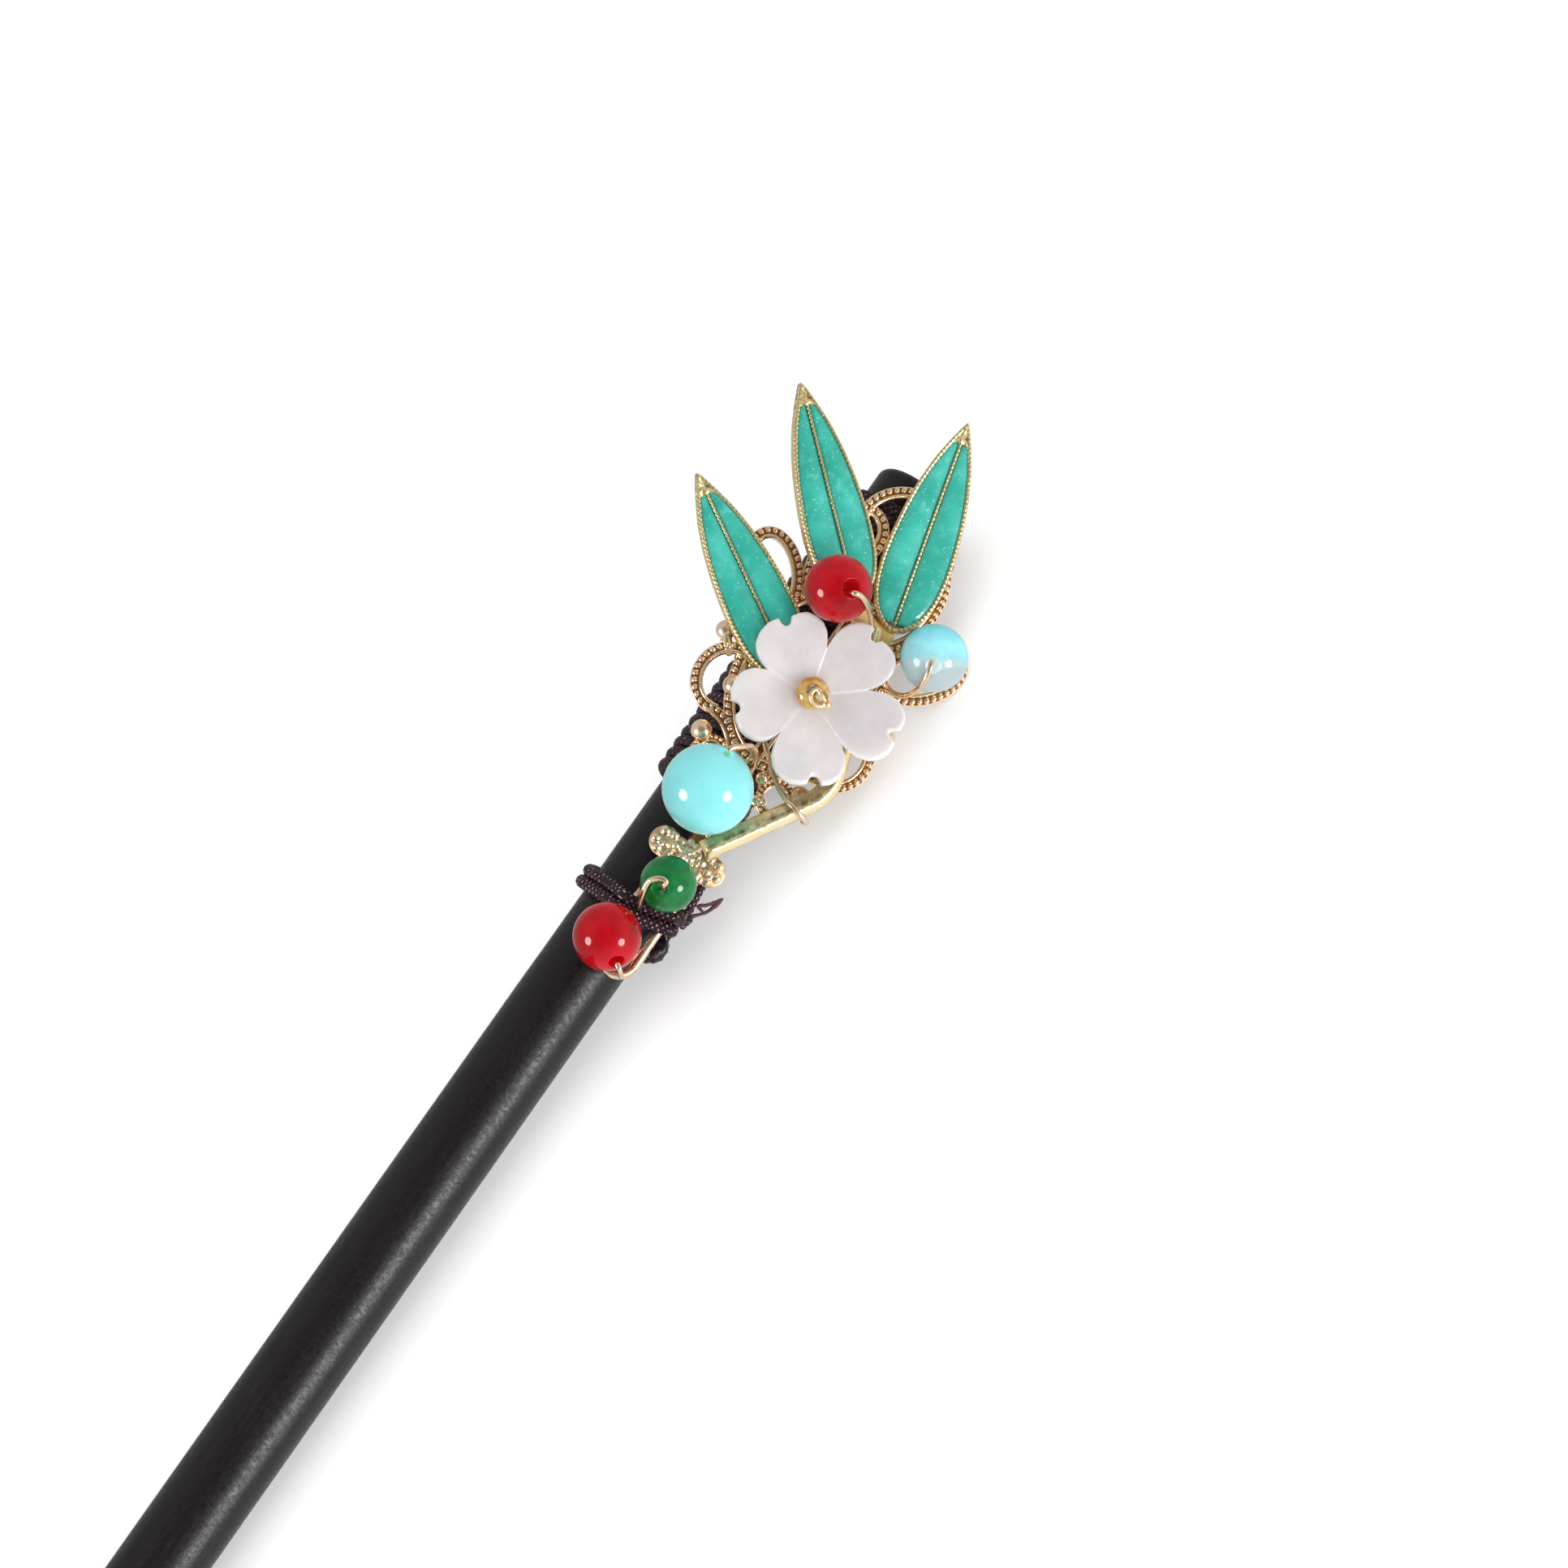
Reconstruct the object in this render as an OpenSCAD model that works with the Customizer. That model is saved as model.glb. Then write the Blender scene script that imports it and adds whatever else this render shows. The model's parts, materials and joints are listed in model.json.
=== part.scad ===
// Hair stick: a dark wooden stick with a gilt openwork base tied to its head. The base
// carries a gilt casting of three enamelled leaves and a stem, a mother-of-pearl blossom
// and five beads on gilt wire. Lengths are in millimetres.
//
// The pieces are laid out with x across the stick, y along it up to the head end at
// y = 0, and z out of the ornament's face, with the stick's axis on x = 0, z = 0.
// at_rest() then lays the whole thing on the plane z = 0 as it lies by itself: rolled
// until the base's edge meets the plane, with the head towards +X.

/* [Stick] */
// Length of the wooden stick
stick_length = 180; // [160:1:200]
// Diameter of the straight shank
stick_d = 7.4; // [6.8:0.1:8]
// How much slimmer the head end is than the shank
head_slimming = 0.16; // [0.1:0.02:0.4]
// Radius of the rounded edge of the head end
head_round = 0.9; // [0.4:0.1:1.4]
// Distance from the head end to where the straight shank starts
shank_start = 57; // [56:1:62]
// Length of the straight shank
shank_length = 63; // [50:1:70]
// Diameter just behind the rounded tip
tip_d = 3.4; // [2.6:0.1:4.4]

/* [Cord] */
// Diameter of the braided cord
cord_d = 1; // [0.8:0.05:1.2]
// How far the flattened cord of the winding stands out from the stick
winding_height = 0.65; // [0.5:0.05:0.8]
// Distance from the head end to the first turn of the winding
winding_start = 3.4; // [2.4:0.2:5]
// Distance from one turn of the winding to the next
winding_pitch = 1.2; // [1.1:0.05:1.3]
// Number of turns in the winding
winding_turns = 26; // [20:1:27]
// Distance from the head end to the start of the lower binding
binding_at = 44.6; // [44.2:0.1:45]
// Gap between the turns of the lower binding
binding_gap = 0.15; // [0.12:0.01:0.2]
// How far the binding leans down the stick from its right side to its left one
lean_across = 7; // [4:1:8]
// How far the binding leans down the stick from its back to its front
lean_out = 17; // [12:1:18]

/* [Openwork base] */
// Length of the openwork base from its crown to its tail
base_length = 52.2; // [51:0.2:53]
// Half of the width of the base over its upper scrolls
base_half_width = 11; // [10.4:0.1:11.6]
// How far the base sits to the right of the stick's axis, at the head end
base_across = 1.65; // [1.4:0.05:1.8]
// How far the base is turned, its tail to the right
base_turn = 0.6; // [0:0.1:0.8]
// Distance from the head end to the crown of the base
base_top_at = 1.2; // [0.8:0.1:1.8]
// Thickness of the base
base_height = 0.85; // [0.7:0.05:1]
// Width of a scroll
scroll_width = 1; // [0.8:0.05:1.2]
// Width of the rounded ridge that stands on each scroll
ridge_width = 0.55; // [0.4:0.05:0.7]
// Height of that ridge, as part of the base's thickness
ridge_height = 0.25; // [0.15:0.05:0.35]

/* [Leaves] */
// Length of a leaf
leaf_length = 20.4; // [19:0.1:21.5]
// Greatest width of a leaf
leaf_width = 6.3; // [5.6:0.1:6.8]
// Thickness of the cast leaves
leaf_height = 1.1; // [0.9:0.05:1.3]
// Thickness of the floor below the enamel
tray_floor = 0.45; // [0.3:0.05:0.6]
// Width of a leaf's rim
rim_width = 0.45; // [0.35:0.05:0.6]
// Width of a leaf's midrib
rib_width = 0.4; // [0.3:0.05:0.5]
// Length of the plain tip of a leaf
leaf_tip_length = 2; // [1.4:0.1:2.6]
// How far the middle leaf is rolled, its outer edge up
middle_leaf_roll = 9; // [4:1:12]
// Width of the stem
stem_width = 1.85; // [1.6:0.05:2]
// Height of the stem at its ridge
stem_height = 1.2; // [1:0.05:1.4]

/* [Blossom] */
// Reach of the longest petal from the middle of the blossom
petal_reach = 8.5; // [7.8:0.1:8.8]
// Thickness of the petals
petal_thickness = 1.1; // [0.9:0.05:1.3]
// How far the petals curve up towards their ends
petal_rise = 1; // [0.6:0.1:1.4]
// Diameter of the hole through the blossom
blossom_hole_d = 1.2; // [1:0.05:1.4]
// Diameter of the small bead in the middle of the blossom
seed_d = 2.7; // [2.4:0.1:3]
// Height of the small bead in the middle of the blossom
seed_height = 1.9; // [1.6:0.1:2.2]

/* [Beads and wire] */
// Diameter of the turquoise bead
turquoise_d = 8; // [7.4:0.1:8.4]
// Diameter of the upper and the lower red bead
red_d = 6; // [5.6:0.1:6.2]
// Diameter of the aqua bead
aqua_d = 6; // [5.6:0.1:6.4]
// Diameter of the green bead
green_d = 5; // [4.6:0.1:5.2]
// Diameter of the holes through the beads
bead_hole_d = 1.35; // [1.15:0.05:1.5]
// Diameter of the wire
wire_d = 0.5; // [0.4:0.05:0.55]

/* [Fit] */
// Gap kept between neighbouring pieces
seat_gap = 0.1; // [0.1:0.01:0.15]

/* [Hidden] */

$fn = 48;

// Levels above the stick's axis, each stacked on the one before
stick_r = stick_d / 2;
winding_r = stick_r + seat_gap + winding_height;
base_z = winding_r + seat_gap;
base_top = base_z + base_height;
leaf_z = base_top + seat_gap;
leaf_top = leaf_z + leaf_height;

// Stick
shank_end = shank_start + shank_length;
taper_steps = 12;
tip_r = tip_d / 2;
tip_steps = 5;
head_steps = 6;

function taper_radius(t) = tip_r + (stick_r - tip_r) * cos(90 * pow(t, 1.15));

stick_profile = concat(
    [[0, 0]],
    [for (i = [0:head_steps]) let (turn = 90 * i / head_steps)
        [stick_r - head_slimming / 2 - head_round * (1 - sin(turn)), -head_round * (1 - cos(turn))]],
    [[stick_r, -shank_start]],
    [for (i = [0:taper_steps]) let (t = i / taper_steps)
        [taper_radius(t), -shank_end - t * (stick_length - shank_end - tip_r)]],
    [for (i = [1:tip_steps]) let (turn = 90 * i / tip_steps)
        [tip_r * cos(turn), -stick_length + tip_r * (1 - sin(turn))]]
);

module along_stick() {
    rotate([-90, 0, 0])
        children();
}

module stick() {
    color([0.11, 0.09, 0.09])
        along_stick()
            rotate_extrude()
                polygon(stick_profile);
}

// Winding: turns of flattened cord, as one ribbed sleeve
winding_bore_r = stick_r + seat_gap;
rib_steps = 4;
rib_dip = 0.45;

winding_profile = concat(
    [for (turn = [0:winding_turns - 1], i = [0:rib_steps]) if (turn == 0 || i > 0)
        [winding_r - winding_height * rib_dip * (1 - sin(180 * i / rib_steps)),
            -winding_start - winding_pitch * (turn + i / rib_steps)]],
    [[winding_bore_r, -winding_start - winding_pitch * winding_turns],
        [winding_bore_r, -winding_start]]
);

module cord_winding() {
    color([0.2, 0.12, 0.14])
        along_stick()
            rotate_extrude()
                polygon(winding_profile);
}

// Tubes swept along a route
function unit(v) = v / norm(v);
function last(list) = list[len(list) - 1];

function tangent(route, i) =
    unit(route[min(i + 1, len(route) - 1)] - route[max(i - 1, 0)]);

function first_side(t) = unit(cross(t, abs(t.z) < 0.9 ? [0, 0, 1] : [1, 0, 0]));

function carried(side, t) = unit(side - (side * t) * t);

function sides_along(route) =
    [for (i = 0, side = first_side(tangent(route, 0)); i < len(route);
            i = i + 1, side = i < len(route) ? carried(side, tangent(route, i)) : side)
        side];

function spline_point(p0, p1, p2, p3, t) = 0.5 * (
    2 * p1 + (p2 - p0) * t
    + (2 * p0 - 5 * p1 + 4 * p2 - p3) * t * t
    + (3 * p1 - p0 - 3 * p2 + p3) * t * t * t
);

function smooth_route(points, steps) = concat(
    [for (i = [0:len(points) - 2], k = [0:steps - 1])
        spline_point(points[max(i - 1, 0)], points[i], points[i + 1],
            points[min(i + 2, len(points) - 1)], k / steps)],
    [last(points)]
);

// radii holds one radius for each point of the route
module tube(route, radii, sides) {
    frames = sides_along(route);
    rings = [for (i = [0:len(route) - 1], k = [0:sides - 1])
        let (turn = 360 * k / sides, t = tangent(route, i))
        route[i] + radii[i] * (cos(turn) * frames[i] + sin(turn) * cross(t, frames[i]))];
    walls = [for (i = [0:len(route) - 2], k = [0:sides - 1])
        let (a = i * sides + k, b = i * sides + (k + 1) % sides)
        [a, a + sides, b + sides, b]];
    start_cap = [[for (k = [0:sides - 1]) k]];
    end_cap = [[for (k = [sides - 1:-1:0]) (len(route) - 1) * sides + k]];
    polyhedron(rings, concat(start_cap, walls, end_cap));
}

function even(route, radius) = [for (p = route) radius];

// Lower binding: leaning turns round the stick and over the tail of the base
cord_r = cord_d / 2;
binding_turns = 2;
binding_pitch = cord_d + binding_gap;
binding_start = 20;
binding_sides = 8;
binding_steps = 14;
binding_ring_r = stick_r + seat_gap + cord_r;
binding_over = base_top + seat_gap + cord_r;

// The turns bend round the corners of the base's tail
tail_half = 1.6;
tail_width = 0.85;
tail_across = base_across + (binding_at + binding_pitch) * sin(base_turn);
corner_reach = tail_half + tail_width / 2 + seat_gap + cord_r;
binding_right = [tail_across + corner_reach, binding_over];
binding_left = [min(tail_across - corner_reach, 0), binding_over];

function turn_of(p) = atan2(p.y, p.x);
function touch_turn(p, side) = turn_of(p) + side * acos(binding_ring_r / norm(p));

// Distance of the cord's middle from the stick's axis, for each direction round the stick
function binding_reach(turn) =
    turn > touch_turn(binding_right, -1) && turn < turn_of(binding_right)
        ? binding_ring_r / cos(turn - touch_turn(binding_right, -1))
    : turn >= turn_of(binding_right) && turn <= turn_of(binding_left)
        ? binding_over / sin(turn)
    : turn > turn_of(binding_left) && turn < touch_turn(binding_left, 1)
        ? binding_ring_r / cos(turn - touch_turn(binding_left, 1))
    : binding_ring_r;

// way is counted round the stick from its right side, on through the turns
function binding_point(way) = let (
        turn = way % 360 > 180 ? way % 360 - 360 : way % 360,
        reach = binding_reach(turn),
        across = reach * cos(turn),
        out = reach * sin(turn),
        along = binding_at + binding_pitch * (way - binding_start) / 360)
    [across, across * tan(lean_across) - out * tan(lean_out) - along, out];

touch_left = touch_turn(binding_left, 1);
touch_right = 360 + touch_turn(binding_right, -1);
one_turn = concat(
    [turn_of(binding_right), turn_of(binding_left)],
    [for (i = [0:binding_steps]) touch_left + (touch_right - touch_left) * i / binding_steps]
);
binding_route = concat(
    [binding_point(binding_start)],
    [for (turn = [0:binding_turns - 1], way = one_turn) binding_point(360 * turn + way)],
    [binding_point(360 * binding_turns + binding_start)]
);

// The cord's short end comes out below the tail and is melted to a lump
short_end = [for (p = [[0.1, -0.6, 0.3], [0.1, -1.1, 0.6], [-0.05, -1.7, 0.7], [-0.3, -2.3, 0.7], [-0.45, -2.7, 0.6]])
    last(binding_route) + p];
short_end_radii = [0.9, 1.15, 1.5, 1.35, 0.6] * cord_r;

// Knot at the start of the binding, with a long thin end
knot_at = binding_point(binding_start) + [0.55, -0.5, 1.2];
knot = [for (p = [[-0.65, 0.5, -0.9], [-0.3, 0.3, -0.45], [0, 0, 0], [0.05, -0.2, 0.4], [0.05, -0.3, 0.7]])
    knot_at + p];
knot_radii = [1, 1.5, 1.7, 1.4, 0.7] * cord_r;
long_end = [for (p = [[0, 0.1, 0.1], [0.35, 0.9, 0], [0.75, 1.75, -0.1], [1.05, 2.4, -0.2], [1.55, 3.5, -0.4]])
    knot_at + p];
long_end_radii = [1.1, 0.7, 0.5, 0.65, 0.3] * cord_r;

module cord_binding() {
    color([0.17, 0.09, 0.11])
        union() {
            tube(concat(binding_route, short_end),
                concat(even(binding_route, cord_r), short_end_radii), binding_sides);
            tube(knot, knot_radii, binding_sides);
            tube(long_end, long_end_radii, wire_sides);
        }
}

// Openwork base, laid out about its own middle line. across is a share of the base's
// half width and along a share of its length, measured down from the crown.
function on_base(across, along) =
    [across * base_half_width, -base_top_at - along * base_length];

function turned(p, turn) = [p.x * cos(turn) - p.y * sin(turn), p.x * sin(turn) + p.y * cos(turn)];

// Place on the stick of a point of the base
function placed(p) = [base_across, 0] + turned(p, base_turn);

arc_step = 18;

// One curved scroll, an arc of an ellipse: its centre, its two radii, how far it is
// tilted, and the directions where it starts and ends
CENTRE_ACROSS = 0;
CENTRE_ALONG = 1;
RADIUS_ACROSS = 2;
RADIUS_ALONG = 3;
TILT = 4;
FROM_TURN = 5;
TO_TURN = 6;

side_scrolls = [
    // outside of the crown
    [0.23, 0.176, 0.3, 0.1, 0, -72, 62],
    // curl inside the crown
    [0.327, 0.125, 0.175, 0.044, 0, 55, 240],
    // upper scroll
    [0.727, 0.268, 0.327, 0.042, 50, -172, 132],
    // lower loop
    [0.54, 0.466, 0.235, 0.056, 0, -105, 112],
    // its inner end
    [0.53, 0.458, 0.105, 0.042, 0, 118, 205],
    // its root at the neck
    [0.55, 0.617, 0.44, 0.095, 0, 90, 155],
    // small loop beside the neck
    [0.318, 0.59, 0.123, 0.028, 0, 0, 360]
];

middle_scrolls = [
    // arch over the crown
    [0, 0.09, 0.391, 0.081, 0, -8, 188],
    // oval behind the blossom
    [0, 0.389, 0.545, 0.165, 0, 0, 360]
];

tail_bend_at = base_length - tail_half - tail_width / 2;
tail_top_along = 0.77;

function scroll_route(s) = let (
        centre = on_base(s[CENTRE_ACROSS], s[CENTRE_ALONG]),
        across = s[RADIUS_ACROSS] * base_half_width,
        along = s[RADIUS_ALONG] * base_length,
        steps = ceil((s[TO_TURN] - s[FROM_TURN]) / arc_step))
    [for (i = [0:steps]) let (turn = s[FROM_TURN] + (s[TO_TURN] - s[FROM_TURN]) * i / steps)
        centre + turned([across * cos(turn), along * sin(turn)], s[TILT])];

tail_route = concat(
    [[tail_half, -base_top_at - tail_top_along * base_length]],
    [for (turn = [0:arc_step:180])
        [tail_half * cos(turn), -base_top_at - tail_bend_at - tail_half * sin(turn)]],
    [[-tail_half, -base_top_at - tail_top_along * base_length]]
);

spine_route = [on_base(0, 0.23), on_base(0, 0.765)];

// Short link from each lower loop to the round end above it
link_route = [on_base(0.65, 0.425), on_base(0.773, 0.395)];

function flat_normal(route, i) = let (t = tangent(route, i)) [-t.y, t.x];

// A flat band of even width along a route, with round ends
module band(route, width) {
    polygon(concat(
        [for (i = [0:len(route) - 1]) route[i] + flat_normal(route, i) * width / 2],
        [for (i = [len(route) - 1:-1:0]) route[i] - flat_normal(route, i) * width / 2]
    ));
    for (end = [route[0], last(route)])
        translate(end)
            circle(d = width, $fn = 8);
}

// A closed ring is drawn as the difference of its two outlines
module closed_band(route, width) {
    difference() {
        polygon([for (i = [0:len(route) - 2]) route[i] + ring_out(route, i) * width / 2]);
        polygon([for (i = [0:len(route) - 2]) route[i] - ring_out(route, i) * width / 2]);
    }
}

function ring_out(route, i) = let (
        n = len(route) - 1,
        t = unit(route[(i + 1) % n] - route[(i + n - 1) % n]))
    [t.y, -t.x];

module scroll(s, width) {
    if (s[TO_TURN] - s[FROM_TURN] == 360)
        closed_band(scroll_route(s), width);
    else
        band(scroll_route(s), width);
}

solder_fillet = 0.12;
// Width of the spine against a scroll's, and of the plate between the rosettes against
// a rosette's radius
spine_share = 1.4;
plate_share = 1.5;

module scrollwork(width) {
    offset(r = -solder_fillet, $fn = 8)
        offset(delta = solder_fillet) {
            for (flip = [0, 1])
                mirror([flip, 0]) {
                    for (s = side_scrolls)
                        scroll(s, width);
                    band(link_route, width);
                }
            for (s = middle_scrolls)
                scroll(s, width);
            band(tail_route, min(width, tail_width));
            band(spine_route, width * spine_share);
            for (flip = [0, 1])
                mirror([flip, 0])
                    translate(rosette_at)
                        circle(r = rosette_r, $fn = 12);
            translate([0, rosette_at.y])
                square([rosette_at.x * 2, rosette_r * plate_share], center = true);
        }
}

// Rosettes of granules where the tail begins
rosette_at = [2.35, -base_top_at - 0.755 * base_length];
rosette_r = 1.4;
rosette_granules = 6;
granule_r = 0.5;
granule_inset = 0.4;
granule_sink = 0.15;

// Round ends of the base: place, radius, and how far the middle is raised. Each is cut
// flat as far below the base.
END_ACROSS = 0;
END_ALONG = 1;
END_R = 2;
END_LIFT = 3;

round_ends = [
    // between the upper scroll and the lower loop
    [0.773, 0.395, 0.88, 0.04],
    // inner end of the lower loop
    [0.464, 0.468, 0.9, 0.42],
    // below the lower loop
    [0.473, 0.563, 0.9, 0.42],
    // end of the curl inside the crown
    [0.25, 0.168, 0.7, 0],
    // beside the neck
    [0.145, 0.572, 0.8, 0],
    [0.214, 0.608, 0.8, 0]
];

module round_end(at, r, lift) {
    translate([at.x, at.y, 0])
        intersection() {
            translate([0, 0, lift])
                sphere(r = r);
            translate([-r, -r, -lift])
                cube([2 * r, 2 * r, r + 2 * lift]);
        }
}

module filigree_base() {
    color([0.85, 0.62, 0.36])
        translate([base_across, 0, base_z])
            rotate(base_turn)
            union() {
                linear_extrude(base_height - ridge_height)
                    scrollwork(scroll_width);
                linear_extrude(base_height)
                    scrollwork(ridge_width);
                for (side = [-1, 1], e = round_ends)
                    round_end(on_base(side * e[END_ACROSS], e[END_ALONG]), e[END_R], e[END_LIFT]);
                for (side = [-1, 1])
                    translate([side * rosette_at.x, rosette_at.y, base_height - granule_sink])
                        for (k = [0:rosette_granules - 1])
                            rotate(360 * (k + 0.5) / rosette_granules)
                                translate([rosette_r - granule_inset, 0, 0])
                                    round_end([0, 0], granule_r, 0);
            }
}

// Leaves. The outline of one leaf runs along +x from its base to its tip: the share of
// the length from the tip, and the half width there as a share of the greatest one
FROM_TIP = 0;
HALF_WIDTH = 1;
leaf_sections = [
    [0, 0.03], [0.04, 0.15], [0.1, 0.32], [0.2, 0.56], [0.32, 0.76], [0.45, 0.9], [0.58, 0.98],
    [0.7, 1], [0.8, 0.95], [0.88, 0.82], [0.94, 0.62], [0.98, 0.34], [1, 0.1]
];

// Where each leaf starts and the direction in which it points
left_leaf_at = [0.9, -22.5];
left_leaf_turn = 149.5;
middle_leaf_at = [1.3, -13.75];
middle_leaf_turn = 138.2;
right_leaf_at = [5.45, -13.85];
right_leaf_turn = 104.4;

module leaf_outline() {
    polygon(concat(
        [for (s = leaf_sections) [leaf_length * (1 - s[FROM_TIP]), s[HALF_WIDTH] * leaf_width / 2]],
        [for (i = [len(leaf_sections) - 1:-1:0]) let (s = leaf_sections[i])
            [leaf_length * (1 - s[FROM_TIP]), -s[HALF_WIDTH] * leaf_width / 2]]
    ));
}

cell_round = 0.3;

// The hollow for the enamel on one side of the midrib, drawn in by inset
module cell(side, inset) {
    offset(r = cell_round, $fn = 12)
        offset(delta = -cell_round - rim_width - inset)
            intersection() {
                leaf_outline();
                mirror([0, side > 0 ? 0 : 1])
                    translate([0, rib_width / 2 - rim_width])
                        square([leaf_length - leaf_tip_length + rim_width, leaf_width]);
            }
}

module leaf_tray() {
    difference() {
        linear_extrude(leaf_height)
            leaf_outline();
        for (side = [-1, 1])
            translate([0, 0, tray_floor])
                linear_extrude(leaf_height)
                    cell(side, 0);
    }
}

enamel_dome = 0.2;
dome_inset = 0.3;

module leaf_enamel(side) {
    translate([0, 0, tray_floor + seat_gap]) {
        linear_extrude(leaf_height - tray_floor - seat_gap)
            cell(side, seat_gap);
        linear_extrude(leaf_height - tray_floor - seat_gap + enamel_dome)
            cell(side, seat_gap + dome_inset);
    }
}

module at_left_leaf() {
    translate([left_leaf_at.x, left_leaf_at.y, leaf_z])
        rotate(left_leaf_turn)
            children();
}

// The middle leaf rolls about the lower edge of its inner side
module at_middle_leaf() {
    translate([middle_leaf_at.x, middle_leaf_at.y, leaf_z])
        rotate(middle_leaf_turn)
            translate([0, -leaf_width / 2, 0])
                rotate([middle_leaf_roll, 0, 0])
                    translate([0, leaf_width / 2, 0])
                        children();
}

module at_right_leaf() {
    translate([right_leaf_at.x, right_leaf_at.y, leaf_z])
        rotate(right_leaf_turn)
            children();
}

// Room that the right leaf takes out of the middle one, which it covers
module right_leaf_room(gap) {
    at_right_leaf()
        translate([0, 0, -leaf_height])
            linear_extrude(leaf_height * 4)
                offset(delta = gap)
                    leaf_outline();
}

// The stem runs from between the leaves to its bend and on to its cut end
stem_start = [3.9, -14.6];
stem_under_blossom = [5.8, -20];
stem_before_bend = [8.1, -26.2];
stem_bend = [9.05, -29.1];
stem_after_bend = [8.4, -30.3];
stem_end = [3.15, -39.35];
stem_lift = 0.5;
stem_z = leaf_z + stem_lift;
stem_top = stem_z + stem_height;
stem_plan = [stem_start, stem_under_blossom, stem_before_bend, stem_bend, stem_after_bend, stem_end];

// Shares of the stem's width and height, round its section
stem_section = [[-0.5, 0], [-0.5, 0.5], [0, 1], [0.5, 0.5], [0.5, 0]];

module stem() {
    n = len(stem_section);
    points = [for (i = [0:len(stem_plan) - 1], p = stem_section)
        let (side = flat_normal(stem_plan, i), at = stem_plan[i] - side * p.x * stem_width)
        [at.x, at.y, stem_z + p.y * stem_height]];
    walls = [for (i = [0:len(stem_plan) - 2], k = [0:n - 1])
        let (a = i * n + k, b = i * n + (k + 1) % n)
        [a, a + n, b + n, b]];
    start_cap = [[for (k = [0:n - 1]) k]];
    end_cap = [[for (k = [n - 1:-1:0]) (len(stem_plan) - 1) * n + k]];
    polyhedron(points, concat(start_cap, walls, end_cap));
}

// Twigs join the foot of each leaf to the stem
twig_width = 1.9;
twig_height = tray_floor + 0.3;
foot_inset = 0.6;

function leaf_foot(at, turn) = at - foot_inset * [cos(turn), sin(turn)];

twigs = [
    [leaf_foot(right_leaf_at, right_leaf_turn), stem_start],
    [leaf_foot(middle_leaf_at, middle_leaf_turn), stem_start],
    [leaf_foot(left_leaf_at, left_leaf_turn), stem_under_blossom],
    [stem_start, stem_under_blossom]
];

module leaf_frame() {
    color([0.83, 0.66, 0.3])
        union() {
            at_left_leaf()
                leaf_tray();
            difference() {
                at_middle_leaf()
                    leaf_tray();
                right_leaf_room(-rim_width / 2);
            }
            at_right_leaf()
                leaf_tray();
            translate([0, 0, leaf_z])
                linear_extrude(twig_height)
                    offset(r = -solder_fillet, $fn = 8)
                        offset(delta = solder_fillet)
                            for (t = twigs)
                                band(t, twig_width);
            stem();
        }
}

enamel_colour = [0.13, 0.69, 0.56];

module enamel_left_lower() {
    color(enamel_colour)
        at_left_leaf()
            leaf_enamel(1);
}

module enamel_left_upper() {
    color(enamel_colour)
        at_left_leaf()
            leaf_enamel(-1);
}

module enamel_middle_lower() {
    color(enamel_colour)
        at_middle_leaf()
            leaf_enamel(1);
}

module enamel_middle_upper() {
    color(enamel_colour)
        difference() {
            at_middle_leaf()
                leaf_enamel(-1);
            right_leaf_room(seat_gap);
        }
}

module enamel_right_lower() {
    color(enamel_colour)
        at_right_leaf()
            leaf_enamel(-1);
}

module enamel_right_upper() {
    color(enamel_colour)
        at_right_leaf()
            leaf_enamel(1);
}

// Blossom
blossom_at = [2.9, -23.05];
blossom_lift = 0.2;
blossom_z = stem_top + blossom_lift;

// Shares of the petals' reach where the flat middle ends and where the curve steepens,
// and the share of the rise reached there
flat_middle = 0.28;
dish_bend = 0.7;
bend_rise = 0.5;

// Direction of each petal and its reach as a share of the longest one
PETAL_TURN = 0;
PETAL_REACH = 1;
petals = [[75, 0.92], [4, 1], [-60, 0.93], [-137, 0.86], [-214, 0.86]];

// Half a petal's edge, out from the notch: the share of the way to the seam beside the
// petal, and the reach there
EDGE_TURN = 0;
EDGE_REACH = 1;
petal_edge = [[0, 0.87], [0.07, 0.93], [0.2, 0.985], [0.36, 1], [0.55, 0.965], [0.72, 0.9],
    [0.87, 0.79], [0.97, 0.64]];

function seam_turn(i) = (petals[i][PETAL_TURN] + (i < len(petals) - 1
    ? petals[i + 1][PETAL_TURN] : petals[0][PETAL_TURN] - 360)) / 2;
function seam_before(i) = i > 0 ? seam_turn(i - 1) : seam_turn(len(petals) - 1) + 360;

// side -1 is the edge towards the seam before the petal, 1 towards the seam after it
function petal_point(i, side, edge) = let (
        middle = petals[i][PETAL_TURN],
        seam = side < 0 ? seam_before(i) : seam_turn(i),
        turn = middle + (seam - middle) * edge[EDGE_TURN],
        reach = petal_reach * petals[i][PETAL_REACH] * edge[EDGE_REACH])
    reach * [cos(turn), sin(turn)];

blossom_outline = [for (i = [0:len(petals) - 1]) each concat(
    [for (k = [len(petal_edge) - 1:-1:1]) petal_point(i, -1, petal_edge[k])],
    [for (edge = petal_edge) petal_point(i, 1, edge)]
)];

seam_width = 0.16;
seam_depth = 0.35;

// Section of the shallow dish that the petals are cut from
dish_rim = petal_reach + 1;
dish_profile = [
    [0, 0], [flat_middle * petal_reach, 0], [petal_reach * dish_bend, petal_rise * bend_rise],
    [dish_rim, petal_rise], [dish_rim, petal_rise + petal_thickness],
    [petal_reach * dish_bend, petal_rise * bend_rise + petal_thickness],
    [flat_middle * petal_reach, petal_thickness], [0, petal_thickness]
];

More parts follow.
